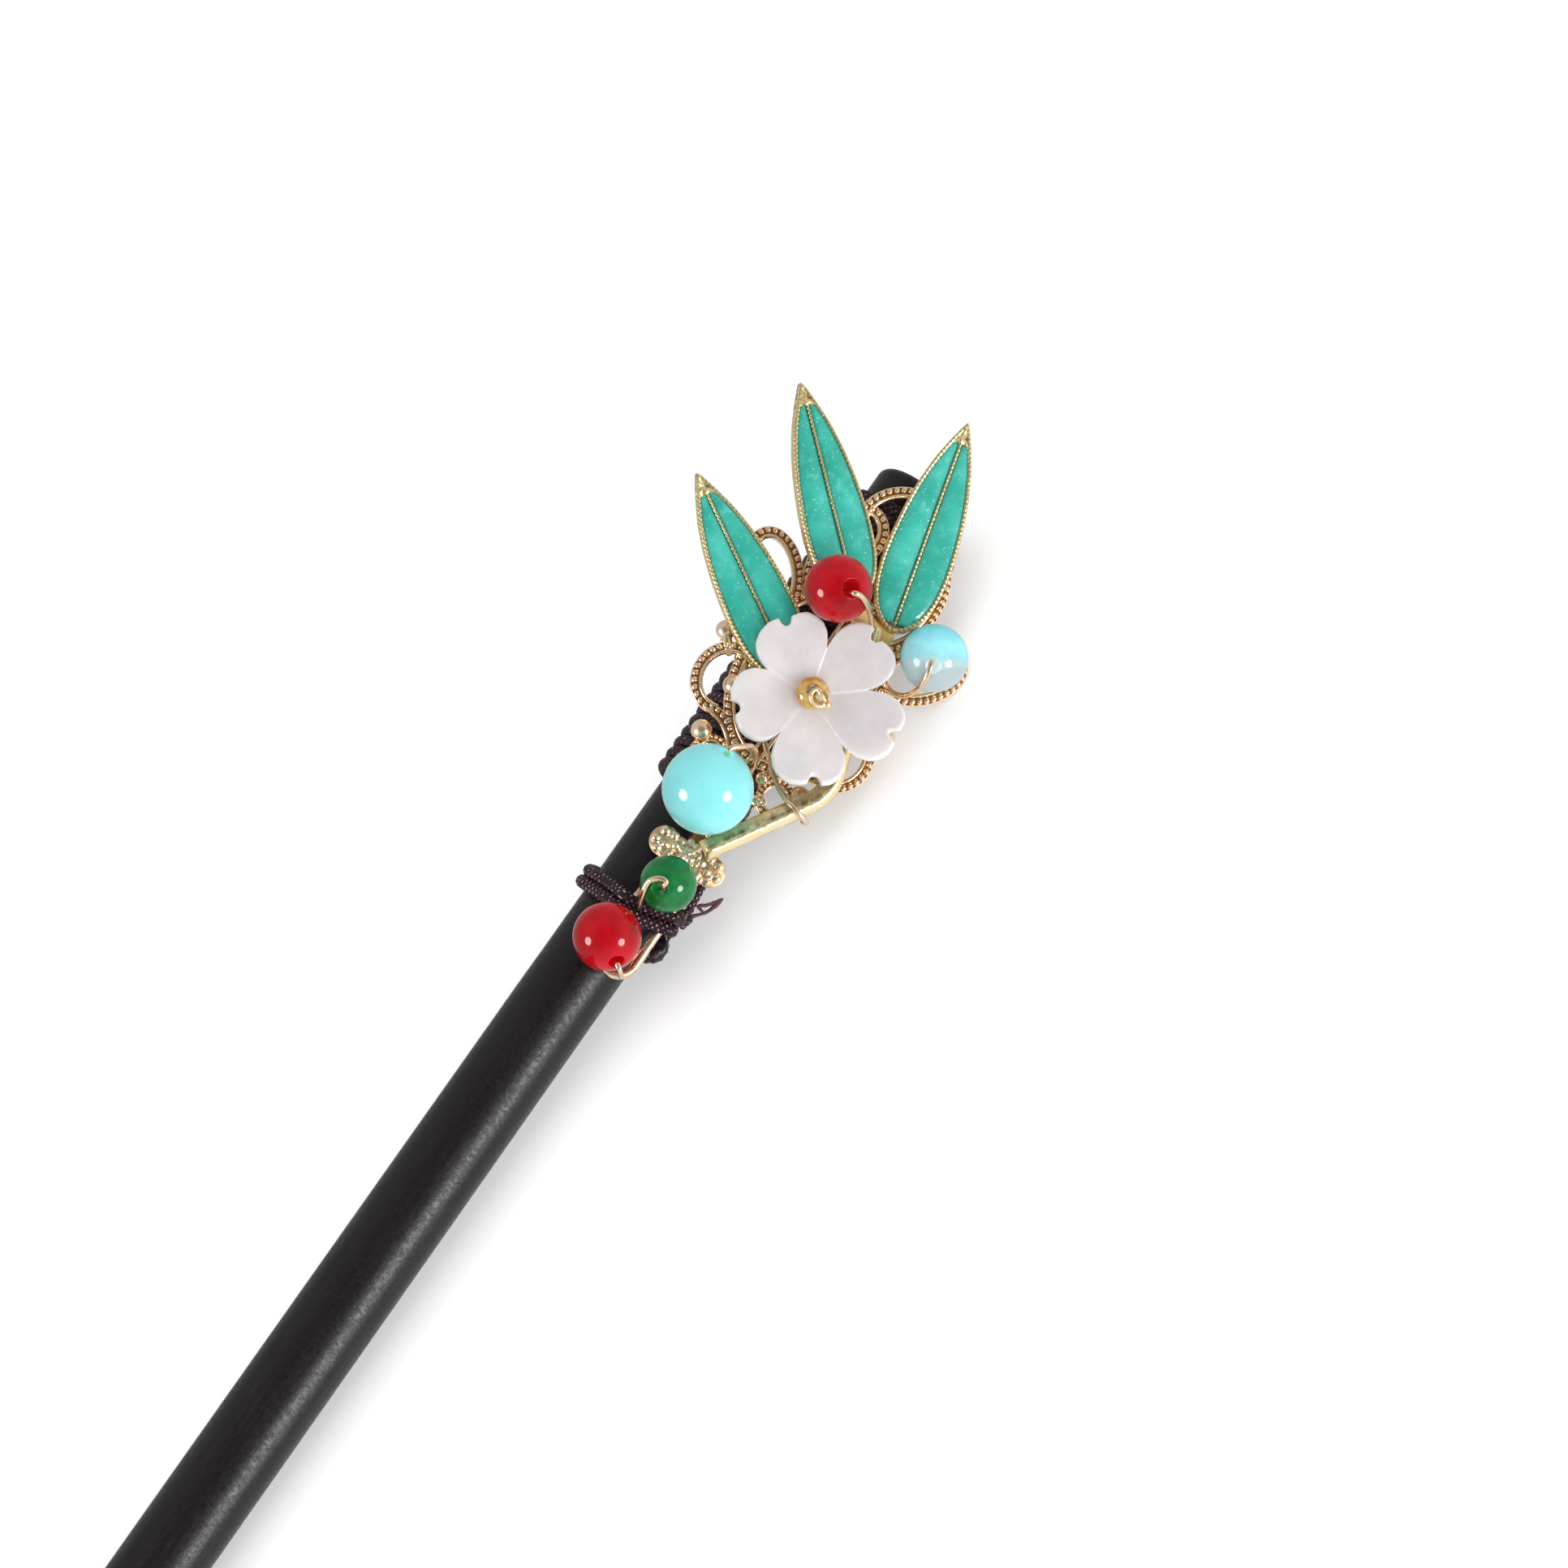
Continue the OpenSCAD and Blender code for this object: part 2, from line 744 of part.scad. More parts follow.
module blossom() {
    color([0.93, 0.88, 0.87])
        translate([blossom_at.x, blossom_at.y, blossom_z])
            difference() {
                intersection() {
                    linear_extrude(petal_thickness + petal_rise)
                        polygon(blossom_outline);
                    rotate_extrude()
                        polygon(dish_profile);
                }
                for (i = [0:len(petals) - 1])
                    rotate(seam_turn(i))
                        translate([seed_d / 2, -seam_width / 2, petal_thickness - seam_depth])
                            cube([petal_reach, seam_width, petal_rise + seam_depth]);
                translate([0, 0, -1])
                    cylinder(d = blossom_hole_d, h = petal_thickness + 2);
            }
}

seed_z = blossom_z + petal_thickness + seat_gap;
seed_round = seed_height / 2;

module blossom_seed() {
    color([0.85, 0.62, 0.2])
        translate([blossom_at.x, blossom_at.y, seed_z + seed_round])
            difference() {
                intersection() {
                    sphere(d = seed_d);
                    cube([seed_d + 1, seed_d + 1, seed_height], center = true);
                }
                cylinder(d = blossom_hole_d, h = seed_height + 2, center = true);
            }
}

// Beads: each centre stands on what lies below it. The hole's visible mouth is leaned
// away from z by hole_lean, towards the direction hole_turn.
turquoise_at = [0.2, -35.65, base_top + seat_gap + turquoise_d / 2];
turquoise_lean = 53;
turquoise_turn = 97;

red_upper_lift = 0.75;
red_upper_at = [-0.54, -14.47, leaf_top + red_upper_lift + red_d / 2];
red_upper_lean = 16;
red_upper_turn = 23;

aqua_at = [9.8, -14.15, base_top + seat_gap + aqua_d / 2];
aqua_lean = 27.5;
aqua_turn = -76;

green_lift = 0.5;
green_at = [2.1, -44.3, base_top + green_lift + green_d / 2];
green_lean = 30.5;
green_turn = -107;

red_lower_at = [0.4, -51.2, base_top + seat_gap + red_d / 2];
red_lower_lean = 60;
red_lower_turn = -40;

function hole_way(lean, turn) = [sin(lean) * cos(turn), sin(lean) * sin(turn), cos(lean)];

module bead(at, d, lean, turn) {
    translate(at)
        rotate([0, lean, turn])
            difference() {
                sphere(d = d, $fn = 48);
                cylinder(d = bead_hole_d, h = d + 1, center = true, $fn = 24);
            }
}

module bead_turquoise() {
    color([0.35, 0.87, 0.86])
        bead(turquoise_at, turquoise_d, turquoise_lean, turquoise_turn);
}

module bead_red_upper() {
    color([0.72, 0.05, 0.1])
        bead(red_upper_at, red_d, red_upper_lean, red_upper_turn);
}

module bead_aqua() {
    color([0.5, 0.85, 0.9])
        bead(aqua_at, aqua_d, aqua_lean, aqua_turn);
}

module bead_green() {
    color([0.05, 0.42, 0.16])
        bead(green_at, green_d, green_lean, green_turn);
}

module bead_red_lower() {
    color([0.75, 0.05, 0.1])
        bead(red_lower_at, red_d, red_lower_lean, red_lower_turn);
}

// Wires: each starts inside its bead, comes out of the hole's mouth, bends over the side
// of the bead and goes down to what the bead is tied to. over holds points in shares of
// the bead's radius from its centre.
wire_r = wire_d / 2;
wire_sides = 6;
wire_steps = 4;
on_base_z = base_top + seat_gap + wire_r;

function bead_wire(at, d, lean, turn, over, landing) = smooth_route(concat(
    [at - hole_way(lean, turn) * d * 0.4, at + hole_way(lean, turn) * d * 0.44,
        at + hole_way(lean, turn) * (d / 2 + wire_d * 0.9)],
    [for (p = over) at + p * d / 2],
    [landing]), wire_steps);

module wire(route) {
    color([0.9, 0.72, 0.45])
        tube(route, even(route, wire_r), wire_sides);
}

turquoise_over = [[0.1, 1.1, 0.52], [0.27, 1.3, 0.12], [0.42, 1.33, -0.35]];
red_upper_over = [[0.66, 0.14, 0.98], [1.02, 0.08, 0.5], [1.2, -0.02, -0.15]];
aqua_over = [[0.14, -0.9, 0.78], [0.12, -1.14, 0.2], [-0.1, -1.36, -0.4]];
green_over = [[-0.48, -0.64, 0.9], [-0.62, -1, 0.38], [-0.48, -1.17, -0.14]];
red_lower_over = [[0.9, -0.72, 0.42], [0.98, -0.7, -0.05], [0.98, -0.62, -0.5]];

turquoise_landing = [2.35, -30.75, on_base_z];
red_upper_landing = [3.95, -15.05, stem_top + seat_gap + wire_r];
aqua_landing = [7.9, -18.4, on_base_z];
green_landing = [1.25, -47.2, binding_over + cord_r + seat_gap + wire_r];
red_lower_landing = [3.3, -52.7, on_base_z];

module wire_turquoise() {
    wire(bead_wire(turquoise_at, turquoise_d, turquoise_lean, turquoise_turn,
        turquoise_over, turquoise_landing));
}

module wire_red_upper() {
    wire(bead_wire(red_upper_at, red_d, red_upper_lean, red_upper_turn,
        red_upper_over, red_upper_landing));
}

module wire_aqua() {
    wire(bead_wire(aqua_at, aqua_d, aqua_lean, aqua_turn, aqua_over, aqua_landing));
}

module wire_green() {
    wire(bead_wire(green_at, green_d, green_lean, green_turn, green_over, green_landing));
}

module wire_red_lower() {
    wire(bead_wire(red_lower_at, red_d, red_lower_lean, red_lower_turn,
        red_lower_over, red_lower_landing));
}

// The wire that holds the blossom rises through it and its small bead, and is coiled on top
coil_r = 0.6;
coil_z = seed_z + seed_height + seat_gap + wire_r;
coil_turns = 1.4;
coil_step = 30;
coil_shift = 0.15;
coil_flattening = 0.9;

blossom_wire_route = concat(
    smooth_route([
        [blossom_at.x, blossom_at.y, leaf_z + twig_height + seat_gap],
        [blossom_at.x, blossom_at.y, blossom_z + petal_thickness],
        [blossom_at.x, blossom_at.y, coil_z - wire_r]
    ], 3),
    [for (sweep = [0:coil_step:360 * coil_turns])
        [blossom_at.x + coil_shift + coil_r * sin(sweep),
            blossom_at.y - coil_r * (1 - cos(sweep)) * coil_flattening,
            coil_z + coil_shift + (wire_d + seat_gap) * sweep / 360]]
);

module wire_blossom() {
    wire(blossom_wire_route);
}

// The wire that ties the stem down comes out below the blossom, crosses the stem and
// bends round its outer side
stem_wire_route = smooth_route([
    [1.9, -28.6, on_base_z + 0.3],
    [2.9, -29.5, on_base_z + 0.6],
    [4.5, -30.9, on_base_z + 0.9],
    [6, -31.8, stem_top - 0.05],
    [7.2, -32.2, stem_top + seat_gap + wire_r],
    [8.3, -32.4, stem_top],
    [8.9, -32.4, stem_z + 0.4],
    [8.6, -32.3, stem_z - 0.35]
], wire_steps);

module wire_stem() {
    wire(stem_wire_route);
}

// Rest: the thing lies on the last turn of the lower binding, on the stick where its
// taper begins, and on whichever point of the ornament's right side comes down first
binding_outer_r = binding_ring_r + cord_r;
underside = 310;
binding_low_at = -binding_point(360 * (binding_turns - 1) + underside).y;
rest_pitch = min([for (p = stick_profile) if (-p.y > shank_start)
    atan((binding_outer_r - p.x) / (-p.y - binding_low_at))]);

function axis_height(y) =
    binding_outer_r * cos(rest_pitch) + (y + binding_low_at) * sin(rest_pitch);

// Roll at which a ball of radius r round a point meets the plane
function roll_to(p, r) =
    atan2(p.z, p.x) + asin((axis_height(p.y) - r) / cos(rest_pitch) / norm([p.x, p.z]));

function raised(p, z) = [p.x, p.y, z];

base_edge = [for (s = side_scrolls) each [for (p = scroll_route(s))
    raised(placed(p + [scroll_width / 2, 0]), base_z)]];

rest_roll = min(concat(
    [for (p = base_edge) if (p.x > base_half_width / 2) roll_to(p, 0)],
    [roll_to(aqua_at, aqua_d / 2)],
    [roll_to(raised(stem_bend, stem_z), stem_width / 2)],
    [for (e = round_ends) roll_to(
        raised(placed(on_base(e[END_ACROSS], e[END_ALONG])), base_z + e[END_LIFT]), e[END_R])]
));

// Place of a point once the thing lies at rest, before it is centred
function rested(p) = let (
        side = -p.x * cos(rest_roll) - p.z * sin(rest_roll),
        up = p.z * cos(rest_roll) - p.x * sin(rest_roll))
    [p.y * cos(rest_pitch) - up * sin(rest_pitch), side, p.y * sin(rest_pitch) + up * cos(rest_pitch)];

function leaf_tip(at, turn) = raised(at + leaf_length * [cos(turn), sin(turn)], leaf_z);

head_reach = rested(leaf_tip(right_leaf_at, right_leaf_turn)).x;
tail_reach = rested([0, -stick_length, 0]).x;
left_reach = rested(leaf_tip(left_leaf_at, left_leaf_turn)).y;
right_reach = rested(aqua_at).y - aqua_d / 2;

module at_rest() {
    translate([-(head_reach + tail_reach) / 2, -(left_reach + right_reach) / 2, axis_height(0)])
        rotate([0, -rest_pitch, 0])
            rotate([rest_roll, 0, 0])
                rotate(-90)
                    children();
}

at_rest() stick();
at_rest() cord_winding();
at_rest() cord_binding();
at_rest() filigree_base();
at_rest() leaf_frame();
at_rest() enamel_left_lower();
at_rest() enamel_left_upper();
at_rest() enamel_middle_lower();
at_rest() enamel_middle_upper();
at_rest() enamel_right_lower();
at_rest() enamel_right_upper();
at_rest() blossom();
at_rest() blossom_seed();
at_rest() bead_turquoise();
at_rest() bead_red_upper();
at_rest() bead_aqua();
at_rest() bead_green();
at_rest() bead_red_lower();
at_rest() wire_turquoise();
at_rest() wire_red_upper();
at_rest() wire_aqua();
at_rest() wire_green();
at_rest() wire_red_lower();
at_rest() wire_blossom();
at_rest() wire_stem();
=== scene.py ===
"""Looks of the hair stick: its pieces are laid out in the ornament's own millimetres and
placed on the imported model's stick.

Ornament frame: x right across the stick, y along it up to the head end at y = 0, and z
out of the ornament's face, with the stick's axis on x = 0, z = 0.
"""

import json
import math

import bpy
import numpy as np
from mathutils import Matrix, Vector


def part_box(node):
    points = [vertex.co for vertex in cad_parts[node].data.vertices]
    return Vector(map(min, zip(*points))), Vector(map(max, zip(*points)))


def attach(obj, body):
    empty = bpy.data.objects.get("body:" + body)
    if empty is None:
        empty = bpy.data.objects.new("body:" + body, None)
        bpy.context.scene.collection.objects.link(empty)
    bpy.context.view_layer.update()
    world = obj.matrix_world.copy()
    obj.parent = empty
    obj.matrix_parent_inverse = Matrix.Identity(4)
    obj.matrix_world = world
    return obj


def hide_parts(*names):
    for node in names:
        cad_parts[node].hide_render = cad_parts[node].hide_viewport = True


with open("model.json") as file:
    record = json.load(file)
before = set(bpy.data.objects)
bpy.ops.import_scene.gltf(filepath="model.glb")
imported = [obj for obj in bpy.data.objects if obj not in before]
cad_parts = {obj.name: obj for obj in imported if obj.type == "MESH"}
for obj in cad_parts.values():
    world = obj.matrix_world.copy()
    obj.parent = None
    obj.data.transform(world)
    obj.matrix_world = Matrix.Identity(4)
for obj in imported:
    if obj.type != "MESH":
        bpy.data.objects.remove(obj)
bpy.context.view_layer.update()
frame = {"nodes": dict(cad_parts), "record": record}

MM = 0.001
TURN = 2 * math.pi
OUTWARD = (0, 0, 1)

# Sizes shared with the solids, in millimetres
STICK_R = 3.7
SEAT_GAP = 0.1
WINDING_HEIGHT = 0.65
WINDING_START = 3.4
WINDING_PITCH = 1.2
WINDING_TURNS = 26
CORD_R = 0.5
BINDING_AT = 44.6
BINDING_GAP = 0.15
BINDING_TURNS = 2
BINDING_START = 20
LEAN_ACROSS = math.tan(math.radians(7))
LEAN_OUT = math.tan(math.radians(17))
BASE_LENGTH = 52.2
BASE_HALF_WIDTH = 11.0
BASE_ACROSS = 1.65
BASE_TURN = math.radians(0.6)
BASE_TOP_AT = 1.2
BASE_HEIGHT = 0.85
TAIL_HALF = 1.6
TAIL_WIDTH = 0.85
LEAF_LENGTH = 20.4
LEAF_WIDTH = 6.3
LEAF_HEIGHT = 1.1
TRAY_FLOOR = 0.45
LEAF_TIP = 2.0
MIDDLE_ROLL = math.radians(9)
STEM_WIDTH = 1.85
STEM_HEIGHT = 1.2
PETAL_REACH = 8.5
PETAL_THICKNESS = 1.1
PETAL_RISE = 1.0
BLOSSOM_HOLE_R = 0.6
SEED_R = 1.35
SEED_HEIGHT = 1.9
BEAD_HOLE_R = 0.675
WIRE_R = 0.25

BASE_Z = STICK_R + SEAT_GAP + WINDING_HEIGHT + SEAT_GAP
BASE_TOP = BASE_Z + BASE_HEIGHT
LEAF_Z = BASE_TOP + SEAT_GAP
LEAF_TOP = LEAF_Z + LEAF_HEIGHT
STEM_Z = LEAF_Z + 0.5
STEM_TOP = STEM_Z + STEM_HEIGHT
ON_BASE_Z = BASE_TOP + SEAT_GAP + WIRE_R
BINDING_RING_R = STICK_R + SEAT_GAP + CORD_R
BINDING_OVER = BASE_TOP + SEAT_GAP + CORD_R
TWIG_HEIGHT = TRAY_FLOOR + 0.3


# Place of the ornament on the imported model
def unit(v):
    v = np.asarray(v, float)
    return v / np.linalg.norm(v, axis=-1, keepdims=True)


shank = frame["record"]["mounts"][0]
ALONG = -unit(shank["axis"])
shank_at = np.array(shank["pos_m"]) / MM
stick_points = np.array([v.co for v in frame["nodes"]["stick"].data.vertices]) / MM
HEAD = shank_at + ALONG * ((stick_points - shank_at) @ ALONG).max()

TURQUOISE_AT = (0.2, -35.65, BASE_TOP + SEAT_GAP + 4.0)
bead_low, bead_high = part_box("bead_turquoise")
to_bead = np.array(bead_low + bead_high) / 2 / MM - HEAD
to_bead = to_bead - ALONG * (to_bead @ ALONG)
OUT = unit(TURQUOISE_AT[2] * to_bead - TURQUOISE_AT[0] * np.cross(ALONG, to_bead))
ACROSS = np.cross(ALONG, OUT)


def way(v):
    """A direction in the ornament's frame, as the model's."""
    return v[0] * ACROSS + v[1] * ALONG + v[2] * OUT


def place(points):
    """Points in the ornament's millimetres, in the model's metres."""
    points = np.asarray(points, float).reshape(-1, 3)
    return (HEAD + points @ np.array([ACROSS, ALONG, OUT])) * MM


# Shapes: each is (points, faces, groove), where groove is 1 in the hollows, which most materials
# paint in shade; on the blossom it is 1 at the rims and seams, which are painted lighter, and on a
# bead along the walls of its hole, which are painted glowing
def shape(points, faces, groove=0.0):
    points = np.asarray(points, float).reshape(-1, 3)
    groove = np.asarray(groove, float).reshape(-1)
    return points, faces, np.broadcast_to(groove, (len(points),))


def joined(shapes):
    """Several shapes as one."""
    faces = []
    count = 0
    for points, own_faces, _ in shapes:
        faces.extend(tuple(i + count for i in face) for face in own_faces)
        count += len(points)
    return np.vstack([s[0] for s in shapes]), faces, np.concatenate([s[2] for s in shapes])


def moved(s, change):
    """The shape with its points changed."""
    return change(s[0]), s[1], s[2]


def mirrored(s):
    """The shape as seen in a mirror, left for right."""
    return s[0] * (-1, 1, 1), [face[::-1] for face in s[1]], s[2]


def turned(p, turn):
    """Points of a plan, turned anticlockwise."""
    p = np.asarray(p, float)
    c, s = np.cos(turn), np.sin(turn)
    return np.stack([p[..., 0] * c - p[..., 1] * s, p[..., 0] * s + p[..., 1] * c], -1)


def flat(plan, height):
    """A plan's points, all at one height."""
    return np.column_stack([plan, np.full(len(plan), height)])


def spline(points, steps):
    """A smooth route through the points."""
    p = np.asarray(points, float)
    out = []
    for i in range(len(p) - 1):
        a, b, c, d = p[max(i - 1, 0)], p[i], p[i + 1], p[min(i + 2, len(p) - 1)]
        for k in range(steps):
            t = k / steps
            out.append(0.5 * (2 * b + (c - a) * t + (2 * a - 5 * b + 4 * c - d) * t ** 2
                              + (3 * b - a - 3 * c + d) * t ** 3))
    out.append(p[-1])
    return np.array(out)


def distances(route):
    """How far along the route each of its points is."""
    return np.concatenate([[0], np.cumsum(np.linalg.norm(np.diff(route, axis=0), axis=1))])


def resampled(route, step, closed=False):
    """The route with points about a step apart, and the distance along it of each."""
    r = np.asarray(route, float)
    if closed:
        r = np.vstack([r, r[:1]])
    along = distances(r)
    n = max(int(math.ceil(along[-1] / step)), 2)
    at = np.linspace(0, along[-1], n + 1)
    out = np.stack([np.interp(at, along, column) for column in r.T], 1)
    if closed:
        return out[:-1], at[:-1]
    return out, at


def tangents(route, closed):
    if closed:
        return unit(np.roll(route, -1, 0) - np.roll(route, 1, 0))
    t = np.empty_like(route)
    t[1:-1] = route[2:] - route[:-2]
    t[0] = route[1] - route[0]
    t[-1] = route[-1] - route[-2]
    return unit(t)


def carried_sides(t, first):
    """Directions square to each tangent, carried along a route without a twist."""
    sides = np.empty_like(t)
    side = np.asarray(first, float)
    for i in range(len(t)):
        side = side - (side @ t[i]) * t[i]
        side = side / np.linalg.norm(side)
        sides[i] = side
    return sides


def offset_plan(plan, closed, off):
    """The plan moved sideways, to the right of its direction."""
    t = tangents(plan, closed)
    return plan + np.stack([t[:, 1], -t[:, 0]], 1) * off


def ring_faces(rows, cols, closed=False, round_rows=True):
    """Faces between the rows of a grid of points."""
    faces = []
    for i in range(rows if closed else rows - 1):
        a = i * cols
        b = (i + 1) % rows * cols
        for k in range(cols if round_rows else cols - 1):
            m = (k + 1) % cols
            faces.append((a + k, a + m, b + m, b + k))
    return faces


def skin(grid, groove=0.0, closed=False, flip=False):
    """A solid with a ring of points in each row. It closes on to its first row, or
    else its ends are capped."""
    rows, cols = grid.shape[:2]
    faces = ring_faces(rows, cols, closed)
    if not closed:
        faces.append(tuple(range(cols - 1, -1, -1)))
        faces.append(tuple(range((rows - 1) * cols, rows * cols)))
    if flip:
        faces = [face[::-1] for face in faces]
    return shape(grid, faces, groove)


def tube(route, radii, sides=12, closed=False, up=None, wide=1.0, high=1.0, form=1.0,
         groove=0.0, caps=3):
    """A tube along the route. up fixes the direction of its height, wide and high
    stretch its section, form scales each point of it, and open ends are rounded."""
    route = np.asarray(route, float)
    n = len(route)
    radii = np.broadcast_to(np.asarray(radii, float), (n,))
    t = tangents(route, closed)
    if up is None:
        first = np.cross(t[0], (0, 0, 1) if abs(t[0][2]) < 0.9 else (1, 0, 0))
        side = carried_sides(t, first)
        other = np.cross(t, side)
    else:
        side = unit(np.cross(t, np.broadcast_to(np.asarray(up, float), t.shape)))
        other = np.cross(side, t)
    rows = [side, other, np.broadcast_to(form, (n, sides)), np.broadcast_to(groove, (n, sides))]
    if not closed:
        swing = np.linspace(0, math.pi / 2, caps + 1)[1:]
        # the last ring stays open for the face that closes the end
        swing[-1] = math.pi / 2 * 0.94
        reach_out, shrink = np.sin(swing)[:, None], np.cos(swing)
        route = np.vstack([route[0] - t[0] * radii[0] * reach_out[::-1], route,
                           route[-1] + t[-1] * radii[-1] * reach_out])
        radii = np.concatenate([radii[0] * shrink[::-1], radii, radii[-1] * shrink])
        rows = [np.pad(row, ((caps, caps), (0, 0)), "edge") for row in rows]
    side, other, form, groove = rows
    turn = TURN * np.arange(sides) / sides
    c = (np.cos(turn) * wide)[None, :, None]
    s = (np.sin(turn) * high)[None, :, None]
    size = (radii[:, None] * form)[:, :, None]
    grid = route[:, None, :] + size * (c * side[:, None, :] + s * other[:, None, :])
    return skin(grid, groove, closed)


def plan_tube(plan, height, r, sides, closed=False, **more):
    """A tube along a plan at one height."""
    return tube(flat(plan, height), r, sides, closed, up=OUTWARD, **more)


def wall_along(plan, closed, low, high, width):
    """A wall of even width standing along a plan."""
    right = offset_plan(plan, closed, width / 2)
    left = offset_plan(plan, closed, -width / 2)
    return skin(np.stack([flat(left, low), flat(right, low), flat(right, high), flat(left, high)], 1),
                closed=closed)


def ball(at, r, rings=10, sides=18, stretch=(1, 1, 1), turn=0.0, floor=None):
    """A ball or egg; floor cuts it flat below that height."""
    tip = math.pi * np.arange(1, rings) / rings
    a = TURN * np.arange(sides) / sides
    grid = np.stack([np.outer(np.sin(tip), np.cos(a)), np.outer(np.sin(tip), np.sin(a)),
                     np.repeat(-np.cos(tip)[:, None], sides, 1)], 2)
    p = np.vstack([(0, 0, -1), grid.reshape(-1, 3), (0, 0, 1)]) * np.asarray(stretch) * r
    p[:, :2] = turned(p[:, :2], turn)
    p = p + np.asarray(at, float)
    if floor is not None:
        p[:, 2] = np.maximum(p[:, 2], floor)
    top = len(p) - 1
    faces = [tuple(i + 1 for i in face) for face in ring_faces(rings - 1, sides)]
    for k in range(sides):
        m = (k + 1) % sides
        faces.append((0, 1 + m, 1 + k))
        faces.append((top - sides + k, top - sides + m, top))
    return shape(p, faces)


def lathe(profile, sides):
    """A closed loop of (radius, height) turned about the z axis."""
    turn = TURN * np.arange(sides) / sides
    grid = np.stack([np.outer(profile[:, 0], np.cos(turn)), np.outer(profile[:, 0], np.sin(turn)),
                     np.repeat(profile[:, 1:2], sides, 1)], 2)
    return skin(grid, closed=True)


# lengths of the ripples' waves
WAVES = (5.0, 2.8, 1.6, 1.0)


def ripple(x, y, seed):
    """Small smooth waves, for surfaces worked by hand."""
    rng = np.random.default_rng(seed)
    total = 0
    for size in WAVES:
        a = rng.uniform(0, TURN)
        p, q = rng.uniform(0, TURN, 2)
        total = total + size * (np.sin((x * math.cos(a) + y * math.sin(a)) * TURN / size + p)
                                * np.cos((x * math.sin(a) - y * math.cos(a)) * TURN / size + q))
    return total / sum(WAVES)


def new_object(name, data):
    made = bpy.data.objects.new(name, data)
    bpy.context.scene.collection.objects.link(made)
    return made


def piece(name, nodes, slot, material, shapes, sharp=None):
    """One object of the scene, in place of the named solids."""
    points, faces, groove = joined(shapes)
    mesh = bpy.data.meshes.new(name)
    mesh.from_pydata(place(points).tolist(), [], faces)
    mesh.validate()
    mesh.polygons.foreach_set("use_smooth", [True] * len(mesh.polygons))
    if sharp is not None:
        mesh.set_sharp_from_angle(angle=math.radians(sharp))
    layer = mesh.attributes.new("groove", "FLOAT", "POINT")
    layer.data.foreach_set("value", groove.astype(np.float32))
    mesh.update()
    made = new_object(name, mesh)
    made.data.materials.append(material)
    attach(made, "root")
    for node in nodes:
        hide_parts(node)


# Materials
# sockets for colours of the Mix node, whose names repeat
MIX_LOW, MIX_HIGH, MIX_RESULT = 6, 7, 2


class Nodes:
    """Makes the nodes of a tree and gives their outputs."""

    def __init__(self, tree):
        self.tree = tree

    def add(self, kind, values=None, links=None, **settings):
        node = self.tree.nodes.new(kind)
        for key, value in settings.items():
            setattr(node, key, value)
        for socket, value in (values or {}).items():
            node.inputs[socket].default_value = value
        for socket, output in (links or {}).items():
            self.tree.links.new(output, node.inputs[socket])
        return node

    def coordinates(self, kind):
        return self.add("ShaderNodeTexCoord").outputs[kind]

    def reckoned(self, operation, *parts):
        """A Math node's value; each part is a number or an output."""
        numbers = {i: part for i, part in enumerate(parts) if isinstance(part, float)}
        outputs = {i: part for i, part in enumerate(parts) if not isinstance(part, float)}
        return self.add("ShaderNodeMath", numbers, outputs, operation=operation).outputs["Value"]

    def spread(self, value, low, high, start=0.0, end=1.0):
        """The value's range from start to end, spread from low to high."""
        ends = {"From Min": start, "From Max": end, "To Min": low, "To Max": high}
        return self.add("ShaderNodeMapRange", ends, {"Value": value}).outputs["Result"]

    def reach(self, vector, toward):
        """How far a vector reaches in a direction."""
        return self.add("ShaderNodeVectorMath", {1: tuple(toward)}, {0: vector},
                        operation="DOT_PRODUCT").outputs["Value"]


